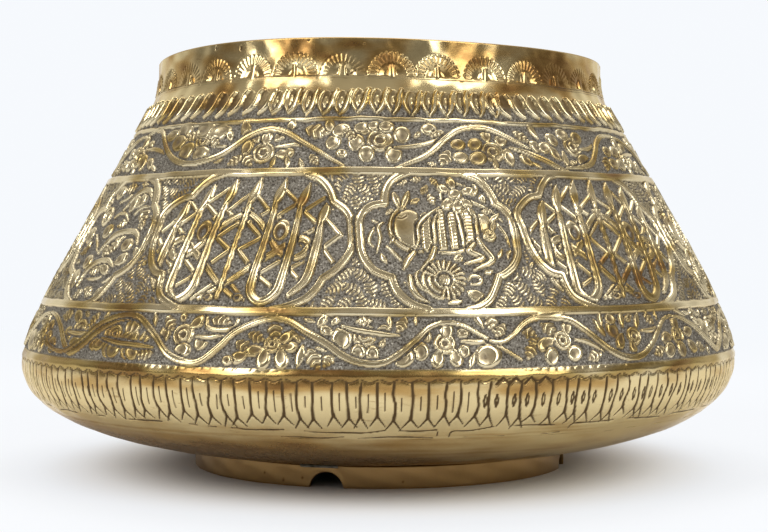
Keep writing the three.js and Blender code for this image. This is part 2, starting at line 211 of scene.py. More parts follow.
@dataclass(frozen=True)
class HandWork:
    """How far the bowl is from true: a leaning, waving rim and walls out of round."""

    rim: tuple[Wave, ...] = (Wave(1, 0.39, -94.6), Wave(2, 0.5, -13.5), Wave(3, 0.44, -39.8))
    rim_from: float = 96.0
    rim_height: float = 141.0
    belly: tuple[Wave, ...] = (Wave(1, 0.65, -90.0), Wave(2, 0.3, -80.0))
    belly_height: float = 27.0
    belly_reach: float = 15.0
    cone: tuple[Wave, ...] = (Wave(1, 0.55, 90.0), Wave(2, 0.3, 15.0))
    cone_height: float = 84.0
    cone_reach: float = 26.0

    def bend(self, places: Array) -> Array:
        """Moves points up by the rim's waves and out by the belly's and the cone's.

        The rim's share grows towards the rim, and the others' is exp(-((z - h)/reach)^2).

        Args:
            places: Points in millimetres, with x, y and z last.

        Returns:
            The moved points.
        """
        azimuth = np.arctan2(places[..., 0], -places[..., 1])
        height = places[..., 2]
        moved = places.copy()
        lift = sum(wave.at(azimuth) for wave in self.rim)
        moved[..., 2] += lift * ease(height, self.rim_from, self.rim_height)
        for waves, middle, reach in ((self.belly, self.belly_height, self.belly_reach),
                                     (self.cone, self.cone_height, self.cone_reach)):
            share = np.exp(-(((height - middle) / reach) ** 2))
            out = sum(wave.at(azimuth) for wave in waves) * share
            moved[..., 0] += out * np.sin(azimuth)
            moved[..., 1] -= out * np.cos(azimuth)
        return moved


# ---------------------------------------------------------------- chasing tools


class Section(Enum):
    """The shape of a line across its width."""

    ROUND = "round"
    SOFT = "soft"
    FLAT = "flat"
    STRAP = "strap"

    def rise(self, reach: Array) -> Array:
        """Share of the lift: cos(d*pi/2), (1+cos(d*pi))/2, a flat top, or one with a hollow.

        Args:
            reach: Distance d from the line's middle over its half width.

        Returns:
            Shares from 0 to 1.
        """
        near = np.clip(reach, 0.0, 1.0)
        if self is Section.SOFT:
            return 0.5 + 0.5 * np.cos(np.pi * near)
        if self is Section.FLAT:
            return ease(1.0 - near, 0.0, FLAT_EDGE)
        if self is Section.STRAP:
            hollow = np.clip(1.0 - (near / HOLLOW_REACH) ** 2, 0.0, 1.0)
            return ease(1.0 - near, 0.0, STRAP_EDGE) * (1.0 - HOLLOW_DEPTH * hollow)
        return np.cos(0.5 * np.pi * near)


FLAT_EDGE = 0.45
STRAP_EDGE = 0.48
HOLLOW_REACH = 0.6
HOLLOW_DEPTH = 0.34


@dataclass(frozen=True)
class Stroke:
    """A line that the chasing tool leaves; a lift below 0 cuts into the sheet."""

    width: float
    lift: float
    section: Section = Section.ROUND
    start: float = 1.0
    end: float = 1.0
    clear: float = 0.0
    stain: float = 0.0


class Outline(Enum):
    """The outline of a raised pad, pointed where it narrows."""

    OVAL = "oval"
    LEAF = "leaf"
    DROP = "drop"

    def half_width(self, along: Array) -> Array:
        """Half width: sqrt(1-a^2), 1-|a|^1.7, or 1.68*sqrt(1-a)*((1+a)/2)^0.8.

        Args:
            along: Place a along the pad, from -1 to 1.

        Returns:
            Shares of the greatest half width.
        """
        a = np.clip(along, -1.0, 1.0)
        if self is Outline.LEAF:
            return 1.0 - np.abs(a) ** 1.7
        if self is Outline.DROP:
            return 1.68 * np.sqrt(1.0 - a) * (0.5 + 0.5 * a) ** 0.8
        return np.sqrt(1.0 - a * a)


@dataclass(frozen=True)
class Pad:
    """A raised patch: its outline, lift, width to length, hollow middle and ribs."""

    outline: Outline
    lift: float
    slim: float = 1.0
    dish: float = 0.0
    ribs: int = 0
    rib_depth: float = 0.3
    clear: float = 0.35
    stain: float = 0.0


@dataclass
class Window:
    """The part of the field that a tool works on, with local x and y in millimetres."""

    rows: slice
    columns: Array
    x: Optional[Array] = None
    y: Optional[Array] = None
    azimuth: float = 0.0
    arc: float = 0.0


class Field:
    """Relief of the bowl's outer face on a grid of azimuth columns and arc rows."""

    SPAN = 7
    STEP = 1.1
    MOST_STEPS = 14
    FAR = 9.0
    BARE = 0.08
    WIPED = 0.3
    DISH_SHIFT = 0.24
    DISH_REACH = 0.74
    RIB_SWEEP = 4.0

    def __init__(self, wall: Wall, columns: int, pitch: float, low: float, high: float) -> None:
        """Lays out the grid, flat and unstained.

        Args:
            wall: The wall that it lies on.
            columns: How many columns go round.
            pitch: Millimetres between rows.
            low: Height of the first row.
            high: Height of the last row.
        """
        ends = wall.arc_at((low, high))
        count = int(round((ends[1] - ends[0]) / pitch)) + 1
        self.wall = wall
        self.columns = columns
        self.turn = 360.0 / columns
        self.azimuth = -180.0 + self.turn * np.arange(columns)
        self.arc = np.linspace(ends[0], ends[1], count)
        self.height = wall.height_at(self.arc)
        self.radius = wall.radius_at(self.arc)
        self.relief, self.stain, self.ground = np.zeros((3, count, columns), np.float32)
        self.away = np.full((count, columns), self.FAR, np.float32)

    def window(self, azimuth: Array, arc: Array, margin: float) -> Optional[Window]:
        """The cells near some places.

        Args:
            azimuth: Azimuths of the places.
            arc: Their arcs.
            margin: How far round them the window reaches.

        Returns:
            The window, or None where no cell lies in the grid.
        """
        low = int(np.searchsorted(self.arc, np.min(arc) - margin))
        high = int(np.searchsorted(self.arc, np.max(arc) + margin))
        if high <= low:
            return None
        radius = self.radius[low:high]
        spread = math.degrees(margin / radius.min())
        first = math.ceil((np.min(azimuth) - spread + 180.0) / self.turn)
        last = math.floor((np.max(azimuth) + spread + 180.0) / self.turn)
        columns = np.arange(first, last + 1)
        middle = float(np.mean(azimuth))
        level = float(np.mean(arc))
        x = np.radians(self.turn * columns - 180.0 - middle)[None, :] * radius[:, None]
        y = np.broadcast_to(self.arc[low:high, None] - level, x.shape)
        return Window(slice(low, high), columns % self.columns, x, y, middle, level)

    def around(self, azimuth: float, height: float, reach: float) -> Optional[Window]:
        """The cells within reach of one place, given by its height."""
        return self.window(np.array([azimuth]), np.array([self.wall.arc_at(height)]), reach)

    def clear(self, window: Window, reach: Array, rise: Array, lift: float, clear: float) -> None:
        """Takes down what stands above a raised form and beside it, so that the form lies on top.

        Args:
            window: The cells.
            reach: How far each cell lies from the form's middle, 1 at its edge.
            rise: The form's share of its lift in each cell.
            lift: The form's lift.
            clear: How far beside the form is cleared, in the same measure as reach.
        """
        spot = (window.rows, window.columns)
        now = self.relief[spot]
        bare = np.where(reach < 1.0, lift * rise, 0.0)
        self.relief[spot] = np.where(reach < 1.0 + clear, np.minimum(now, bare), now)

    def work(self, window: Window, rise: Array, lift: float, stain: float, shade: Optional[Array] = None) -> None:
        """Raises or cuts the window's cells, wipes what it raises, and stains.

        Args:
            window: The cells.
            rise: Share of the lift in each cell.
            lift: Millimetres, less than 0 to cut.
            stain: How dark the stain is.
            shade: Share of the stain in each cell, or None for the rise.
        """
        spot = (window.rows, window.columns)
        now = self.relief[spot]
        if lift > 0:
            self.relief[spot] = np.maximum(now, lift * rise)
            self.stain[spot] = self.stain[spot] * (rise <= self.WIPED)
        else:
            self.relief[spot] = np.minimum(now, np.maximum(now, 0.0) + lift * rise)
        if stain > 0:
            self.stain[spot] = np.maximum(self.stain[spot], stain * (rise if shade is None else shade))

    def bare(self, azimuth: float, height: float, reach: float) -> bool:
        """Whether nothing stands up within reach of a place."""
        window = self.around(azimuth, height, reach)
        return window is not None and float(self.relief[window.rows, window.columns].max()) < self.BARE

    def route(self, knots: Knots, smooth: bool) -> Array:
        """Places along a line.

        Args:
            knots: Azimuth and height of each knot.
            smooth: Whether the line flows through the knots.

        Returns:
            Azimuths and arcs.
        """
        line = np.asarray(knots, float).copy()
        line[:, 1] = self.wall.arc_at(line[:, 1])
        if len(line) < 3 or not smooth:
            return line
        radius = self.wall.radius_at(line[:, 1].mean())
        gap = np.hypot(np.radians(np.diff(line[:, 0])) * radius, np.diff(line[:, 1]))
        return flowing(line, int(np.clip(math.ceil(gap.max() / self.STEP), 2, self.MOST_STEPS)))

    def line(self, knots: Knots, stroke: Stroke, smooth: bool = True) -> None:
        """Works a line through knots, flowing through them or straight from one to the next."""
        self.follow(self.route(knots, smooth), stroke)

    def joined(self, arcs: Sequence[Knots], stroke: Stroke) -> None:
        """Works one line made of arcs that meet in corners."""
        routes = [self.route(arc, True) for arc in arcs]
        self.follow(np.vstack([routes[0]] + [route[1:] for route in routes[1:]]), stroke)

    def follow(self, route: Array, stroke: Stroke) -> None:
        """Works along a route: each cell takes its share from the nearest piece of it.

        Args:
            route: Azimuths and arcs.
            stroke: The tool.
        """
        share = np.linspace(0.0, 1.0, len(route))
        size = np.interp(share, (0.0, 0.3, 0.7, 1.0), (stroke.start, 1.0, 1.0, stroke.end))
        half = 0.5 * stroke.width * size
        rows, columns = [], []
        for first in range(0, len(route) - 1, self.SPAN):
            span = slice(first, first + self.SPAN + 1)
            window, reach = self.near(route[span], half[span], stroke.clear)
            if window is not None:
                spot = (window.rows, window.columns)
                self.away[spot] = np.minimum(self.away[spot], reach)
                rows += [window.rows.start, window.rows.stop]
                columns.append(window.columns)
        if not rows:
            return
        spot = (slice(min(rows), max(rows)), np.unique(np.concatenate(columns)))
        reach = self.away[spot]
        self.away[spot] = self.FAR
        rise = stroke.section.rise(reach)
        if stroke.clear > 0:
            self.clear(Window(*spot), reach, rise, stroke.lift, 2.0 * stroke.clear / stroke.width)
        self.work(Window(*spot), rise, stroke.lift, stroke.stain)

    def near(self, route: Array, half: Array, clear: float) -> tuple[Optional[Window], Array]:
        """The cells near a few straight pieces, and how far each lies from them.

        Args:
            route: Azimuths and arcs of the pieces' ends.
            half: Half the line's width at each end.
            clear: How far beside the line the cells reach.

        Returns:
            The window, if any, and the least distance over the half width there.
        """
        window = self.window(route[:, 0], route[:, 1], float(half.max()) + clear)
        if window is None:
            return None, half
        px = np.radians(route[:, 0] - window.azimuth) * self.wall.radius_at(route[:, 1])
        py = route[:, 1] - window.arc
        ax, ay, dx, dy = px[:-1], py[:-1], np.diff(px), np.diff(py)
        length = np.maximum(dx * dx + dy * dy, 1e-9)
        x, y = window.x[..., None], window.y[..., None]
        share = np.clip(((x - ax) * dx + (y - ay) * dy) / length, 0.0, 1.0)
        away = np.hypot(x - ax - share * dx, y - ay - share * dy)
        return window, (away / (half[:-1] + share * np.diff(half) + 1e-6)).min(axis=-1)

    def pad(self, azimuth: float, height: float, size: float, pad: Pad, turn: float = 0.0) -> None:
        """Raises a pad: a dome lift*(1-d^3)^0.6 inside its outline, less its dish and ribs.

        Args:
            azimuth: Azimuth of the pad's middle.
            height: Height of the pad's middle.
            size: Half its length.
            pad: Its form.
            turn: Degrees from rightwards to its length, towards up.
        """
        window = self.around(azimuth, height, size + pad.clear)
        if window is None:
            return
        cos, sin = math.cos(math.radians(turn)), math.sin(math.radians(turn))
        along = (window.x * cos + window.y * sin) / size
        across = (window.y * cos - window.x * sin) / (size * pad.slim)
        edge = np.maximum(pad.outline.half_width(along), 0.02)
        reach = np.where(np.abs(along) < 1.0, np.abs(across) / edge, self.FAR)
        if pad.outline is Outline.OVAL:
            reach = np.hypot(along, across)
        rise = np.clip(1.0 - np.clip(reach, 0.0, 1.0) ** 3, 0.0, 1.0) ** 0.6
        shade = rise
        if pad.dish:
            middle = np.hypot(along + self.DISH_SHIFT, across / edge) / self.DISH_REACH
            shade = np.clip(1.0 - middle**2, 0.0, 1.0)
            rise = rise * (1.0 - pad.dish * shade)
            shade = np.sqrt(shade)
        if pad.ribs:
            shade = 0.5 + 0.5 * np.cos(np.pi * pad.ribs * along + self.RIB_SWEEP * np.abs(across))
            shade = shade * (reach < 1.0)
            rise = rise * (1.0 - pad.rib_depth * shade)
        if pad.clear > 0:
            self.clear(window, reach, rise, pad.lift, pad.clear / (size * pad.slim))
        self.work(window, rise, pad.lift, pad.stain, shade)

    def ring(self, azimuth: float, height: float, radius: float, stroke: Stroke) -> None:
        """Works a round line: a cell's share comes from its distance to the circle.

        Args:
            azimuth: Azimuth of the circle's centre.
            height: Height of its centre.
            radius: Its radius.
            stroke: The tool.
        """
        window = self.around(azimuth, height, radius + stroke.width)
        if window is None:
            return
        reach = np.abs(np.hypot(window.x, window.y) - radius) / (0.5 * stroke.width)
        self.work(window, stroke.section.rise(reach), stroke.lift, stroke.stain)

    def comb(self, azimuth: float, height: float, radius: float, stroke: Stroke, teeth: float,
             start: float = 0.0, end: float = 360.0, twist: float = 0.0) -> None:
        """Works a toothed arc: its share is ((1+cos(teeth*angle+twist*r))/2)^1.1 between two angles.

        Args:
            azimuth: Azimuth of the arc's centre.
            height: Height of the arc's centre.
            radius: Radius of the arc's middle line.
            stroke: The tool; its width is the arc's width.
            teeth: How many teeth a full turn has, 0 for a plain arc.
            start: Angle where the arc starts, from rightwards towards up.
            end: Angle where it ends.
            twist: How much the teeth lean, in radians for each millimetre.
        """
        window = self.around(azimuth, height, radius + 0.5 * stroke.width)
        if window is None:
            return
        away = np.hypot(window.x, window.y)
        angle = (np.degrees(np.arctan2(window.y, window.x)) - start) % 360.0
        reach = np.abs(away - radius) / (0.5 * stroke.width)
        wave = (0.5 + 0.5 * np.cos(teeth * np.radians(angle) + twist * away)) ** 1.1
        rise = stroke.section.rise(reach) * wave * (angle <= end - start)
        self.work(window, rise, stroke.lift, stroke.stain)

    def round_line(self, height: float, stroke: Stroke, waves: Knots = ()) -> None:
        """Works a line right round the bowl.

        Args:
            height: Its height.
            stroke: The tool.
            waves: Count, swing and phase of each wave that it wanders by.
        """
        azimuth = np.radians(self.azimuth)
        level = self.wall.arc_at(height) + sum(s * np.cos(n * azimuth + p) for n, s, p in waves)
        reach = np.abs(self.arc[:, None] - level) / (0.5 * stroke.width)
        low = np.flatnonzero((reach < 1.0 + stroke.clear).any(axis=1))
        if not len(low):
            return
        rows = slice(int(low[0]), int(low[-1]) + 1)
        window = Window(rows, np.arange(self.columns))
        self.work(window, stroke.section.rise(reach[rows]), stroke.lift, stroke.stain)


# ---------------------------------------------------------------- ornament


class Motif(Enum):
    """The small forms that fill the bands."""

    BERRY = "berry"
    LEAF = "leaf"
    DROP = "drop"
    RING = "ring"
    SPIKE = "spike"


BERRY, LEAF, DROP, RING, SPIKE = Motif

SWELL = 1.68
PADS = {
    BERRY: Pad(Outline.OVAL, 0.9, 0.84, 0.7, clear=0.2, stain=0.4),
    LEAF: Pad(Outline.LEAF, 0.8, 0.66, 0.0, 4, 0.6, clear=0.2, stain=0.42),
    DROP: Pad(Outline.DROP, 0.86, 0.68, 0.65, clear=0.2, stain=0.4),
    SPIKE: Pad(Outline.LEAF, 0.62, 0.4),
}
RING_BED = Pad(Outline.OVAL, 0.42, 1.0, 0.4, clear=0.3, stain=0.45)
RING_EDGE = Stroke(1.4, 0.9)
RING_HEART = Stroke(1.1, 0.85)
STEM = Stroke(2.5, 0.95, Section.STRAP, clear=0.45, start=0.5, end=0.5)
TWIG = Stroke(2.0, 0.78, clear=0.4, start=0.6, end=0.5)
VEIN = Stroke(1.5, 0.72, clear=0.35, start=0.45, end=0.45)

FILL_KINDS = (DROP, SPIKE, LEAF, DROP, BERRY)
FILL_ROW = 2.7
FILL_STEP = 2.9
FILL_CLEAR = 1.55
PANEL_MARGIN = 1.4

Spot = tuple[Motif, float, float, float, float]


@dataclass
class Ornament:
    """A band of chasing; its method chase works it into the field."""

    seed: int = 7
    rng: np.random.Generator = field(init=False)

    def __post_init__(self) -> None:
        """Starts the band's own seeded draws."""
        self.rng = np.random.default_rng(self.seed)

    def near(self, spread: float, count: int = 1) -> Array:
        """Random numbers within a spread of 0."""
        return self.rng.uniform(-spread, spread, count)

    def nudge(self, spread: float) -> float:
        """One random number within a spread of 0."""
        return float(self.near(spread)[0])

    def chase(self, bowl: Field) -> None:
        """Works the band into the field."""
        raise NotImplementedError

    def motif(self, bowl: Field, kind: Motif, azimuth: float, height: float, size: float, turn: float) -> None:
        """Raises one small form; a ring has an edge and a smaller ring inside.

        Args:
            bowl: The field.
            kind: Which form.
            azimuth: Azimuth of its middle.
            height: Height of its middle.
            size: Its size in millimetres.
            turn: Degrees from rightwards to its length, towards up.
        """
        if kind is RING:
            bowl.pad(azimuth, height, size * 1.3, RING_BED)
            bowl.ring(azimuth, height, size * 1.08, RING_EDGE)
            bowl.ring(azimuth, height, size * 0.5, RING_HEART)
        else:
            bowl.pad(azimuth, height, size * SWELL, PADS[kind], turn)

    def fill(self, bowl: Field, low: float, high: float, share: float = 0.75,
             panel: Optional["Panel"] = None) -> None:
        """Puts small seeded forms where a stretch between two heights is still bare.

        Args:
            bowl: The field.
            low: Height where the stretch starts.
            high: Height where it ends.
            share: How many of the bare places get a form, from 0 to 1.
            panel: The panel that it stays in, or None for right round the bowl.
        """
        for height in np.arange(low, high, FILL_ROW):
            step = math.degrees(FILL_STEP / bowl.wall.radius_at(bowl.wall.arc_at(height)))
            around = np.arange(-180.0, 180.0, step)
            if panel is not None:
                around = around[panel.outside(around, height) < -PANEL_MARGIN]
            for azimuth in around:
                draw = self.near(0.5, 5)
                place, level = azimuth + 0.8 * step * draw[0], height + 1.6 * draw[1]
                if draw[2] + 0.5 < share and bowl.bare(place, level, FILL_CLEAR):
                    kind = FILL_KINDS[int((draw[3] + 0.5) * 4.999)]
                    self.motif(bowl, kind, place, level, 1.0 + 0.4 * draw[4], 360.0 * draw[3])

    def scatter(self, bowl: Field, spots: Iterable[Spot], turn: float = 0.0, flip: bool = False) -> None:
        """Raises small forms, turned round the bowl and perhaps mirrored.

        Args:
            bowl: The field.
            spots: Kind, azimuth, height, size and turn of each form.
            turn: Degrees by which they go round the bowl.
            flip: Whether left and right change places before that.
        """
        for kind, azimuth, height, size, tilt in spots:
            side = -azimuth if flip else azimuth
            lean = 180.0 - tilt if flip else tilt
            self.motif(bowl, kind, side + turn, height, size, lean)

    def lines(self, bowl: Field, stroke: Stroke, routes: Iterable[Knots], turn: float = 0.0) -> None:
        """Works several lines with one tool, turned round the bowl."""
        for knots in routes:
            bowl.line([(azimuth + turn, height) for azimuth, height in knots], stroke)


@dataclass
class NeckBand(Ornament):
    """The neck: two cut lines, a row of rayed arches with a post in each, and a bare strip."""

    arches: int = 33
    first_azimuth: float = 2.4
    foot_height: float = 129.1
    ray_radius: float = 5.75
    ray_teeth: float = 27.0
    hollow_radius: float = 4.4
    post: tuple[float, float] = (129.4, 132.4)
    line_heights: tuple[float, float] = (128.4, 129.0)

    LINE_WAVES = ((1, 0.25, 1.9), (3, 0.12, 0.4))
    FRESH = {0: 0.95, 1: 1.0, 2: 0.9, 3: 0.6, 4: 0.3, 5: 0.3, 32: 0.25, 31: 0.9, 30: 0.4, 29: 0.35, 28: 0.3}
    DENTS = (
        (-41.8, 139.4, 0.9, 90), (-33.8, 138.6, 1.1, 90), (-16.2, 140, 0.6, 0), (-6.2, 130, 0.9, 30),
        (-7.2, 129.6, 0.7, -20), (-5.3, 130.7, 0.6, 60), (-3.4, 139, 0.4, 0), (118, 137.5, 0.8, 40),
        (201, 133, 0.7, 10),
    )

    def chase(self, bowl: Field) -> None:
        """Works toothed half rings over hollow half discs with posts, worn in places, then old dents."""
        cut = Stroke(0.55, -0.18, Section.SOFT, stain=0.7)
        for height in self.line_heights:
            bowl.round_line(height, cut, self.LINE_WAVES)
        hollow = Stroke(self.hollow_radius, -0.5, Section.SOFT)
        for number in range(self.arches):
            middle = self.first_azimuth + number * 360.0 / self.arches + self.nudge(0.4)
            lean = self.nudge(0.6)
            radius = self.ray_radius + self.nudge(0.3)
            fresh = self.FRESH.get(number, 0.7 + 0.5 * lean)
            rim = Stroke(3.1, 0.42 * fresh, Section.FLAT)
            teeth = Stroke(3.5, -0.5 * fresh, Section.FLAT, stain=0.3 * fresh)
            bowl.comb(middle, self.foot_height, radius, rim, 0.0, 0.0, 180.0)
            bowl.comb(middle, self.foot_height, radius + 0.2, teeth, self.ray_teeth, 4.0, 176.0, lean)
            bowl.comb(middle, self.foot_height, 0.5 * self.hollow_radius, hollow, 0.0, 0.0, 180.0)
            foot, top = self.post
            bowl.line([(middle, foot), (middle + 0.5 * lean, top)], Stroke(1.9, 0.3 * fresh, end=0.55))
        dent = Pad(Outline.OVAL, -0.12, 0.6, clear=0.0, stain=0.9)
        for azimuth, height, size, turn in self.DENTS:
            bowl.pad(azimuth, height, size, dent, turn)


@dataclass(frozen=True)
class Leaf:
    """One upright leaf: its azimuth, its tip's height off the level, its width and its lean."""

    azimuth: float
    level: float
    width: float
    lean: float


@dataclass
class LeafBand(Ornament):
    """The shoulder's row of upright leaves, pointed below and hooked over above."""

    leaves: int = 100
    first_azimuth: float = -0.7
    tip_height: float = 116.9
    ground_height: float = 122.4
    front_reach: float = 0.68
    side_reach: float = 1.05
    sides: tuple[float, float] = (25.0, 90.0)

    LOOP = ((0.1, 2.2), (-0.35, 3.7), (0, 5.6), (0.3, 4))
    LEFT_EDGE = ((0, 0), (-1.3, 1.9), (-1.95, 4.4), (-1.5, 6.7), (-0.6, 7.8))
    RIGHT_EDGE = ((0, -0.2), (1.25, 1.7), (1.95, 4.3), (2.2, 6.4), (2.9, 8))

    def chase(self, bowl: Field) -> None:
        """Works each leaf as a brown drop with bold edges and a loop; at the sides one edge hooks over."""
        bowl.round_line(self.ground_height, Stroke(5.6, -0.02, Section.FLAT, stain=0.72))
        body = Pad(Outline.DROP, 0.3, 0.56, clear=0.0, stain=0.72)
        azimuths = self.first_azimuth + np.arange(self.leaves) * 360.0 / self.leaves + self.near(0.22, self.leaves)
        draws = (self.near(0.45, self.leaves), 1.0 + self.near(0.09, self.leaves), self.near(0.25, self.leaves))
        leaves = [Leaf(*numbers) for numbers in zip(azimuths, *draws)]
        for leaf in leaves:
            bowl.pad(leaf.azimuth, self.tip_height + leaf.level + 3.9, 4.2, body, 90.0 - leaf.lean)
        bold = Stroke(2.2, 1.25, clear=0.35, start=0.5, end=0.75)
        thin = Stroke(1.6, 1.05, start=0.55, end=0.6)
        loop = Stroke(1.1, 0.5, start=0.5, end=0.5)
        for leaf in leaves:
            front = signed(leaf.azimuth)
            if self.sides[0] < abs(front) < self.sides[1]:
                self.edge(bowl, leaf, math.copysign(self.side_reach, -front), bold, self.RIGHT_EDGE)
            else:
                self.edge(bowl, leaf, self.front_reach, loop, self.LOOP)
                self.edge(bowl, leaf, self.front_reach, thin, self.LEFT_EDGE)
                self.edge(bowl, leaf, self.front_reach, bold, self.RIGHT_EDGE)

    def edge(self, bowl: Field, leaf: Leaf, reach: float, stroke: Stroke, knots: Knots) -> None:
        """Works one line of a leaf."""
        side, foot = reach * leaf.width, self.tip_height + leaf.level
        bowl.line([(leaf.azimuth + leaf.lean * z / 8.0 + x * side, foot + 0.93 * z) for x, z in knots], stroke)


@dataclass
class VineBand(Ornament):
    """A stem that waves round the bowl, with clusters of flowers in its bends."""

    trough: float = 0.0
    crest: float = 0.0
    low: float = 0.0
    high: float = 0.0

    STEM_KNOTS = 13
    STEM_LEAN = 0.06

    def wave(self, bowl: Field, crests: Sequence[float]) -> None:
        """Works the stem in its plain part: middle + swing*cos(2*pi*share) from crest to crest.

        Args:
            bowl: The field.
            crests: Azimuths of the crests.
        """
        middle, swing = 0.5 * (self.crest + self.trough), 0.5 * (self.crest - self.trough)
        for first, last in zip(crests[:-1], crests[1:]):
            share = np.linspace(0.0, 1.0, self.STEM_KNOTS)
            lean = self.STEM_LEAN * np.sin(2 * np.pi * share)
            azimuth = first + (last - first) * (share + lean)
            bowl.line(np.column_stack((azimuth, middle + swing * np.cos(2 * np.pi * share))), STEM)

    def carry(self, bowl: Field, cluster: tuple[Iterable[Spot], float], azimuth: float, flip: bool) -> None:
        """Raises a cluster of the front again round the bowl, its middle at an azimuth."""
        spots, home = cluster
        self.scatter(bowl, spots, azimuth + (home if flip else -home), flip)


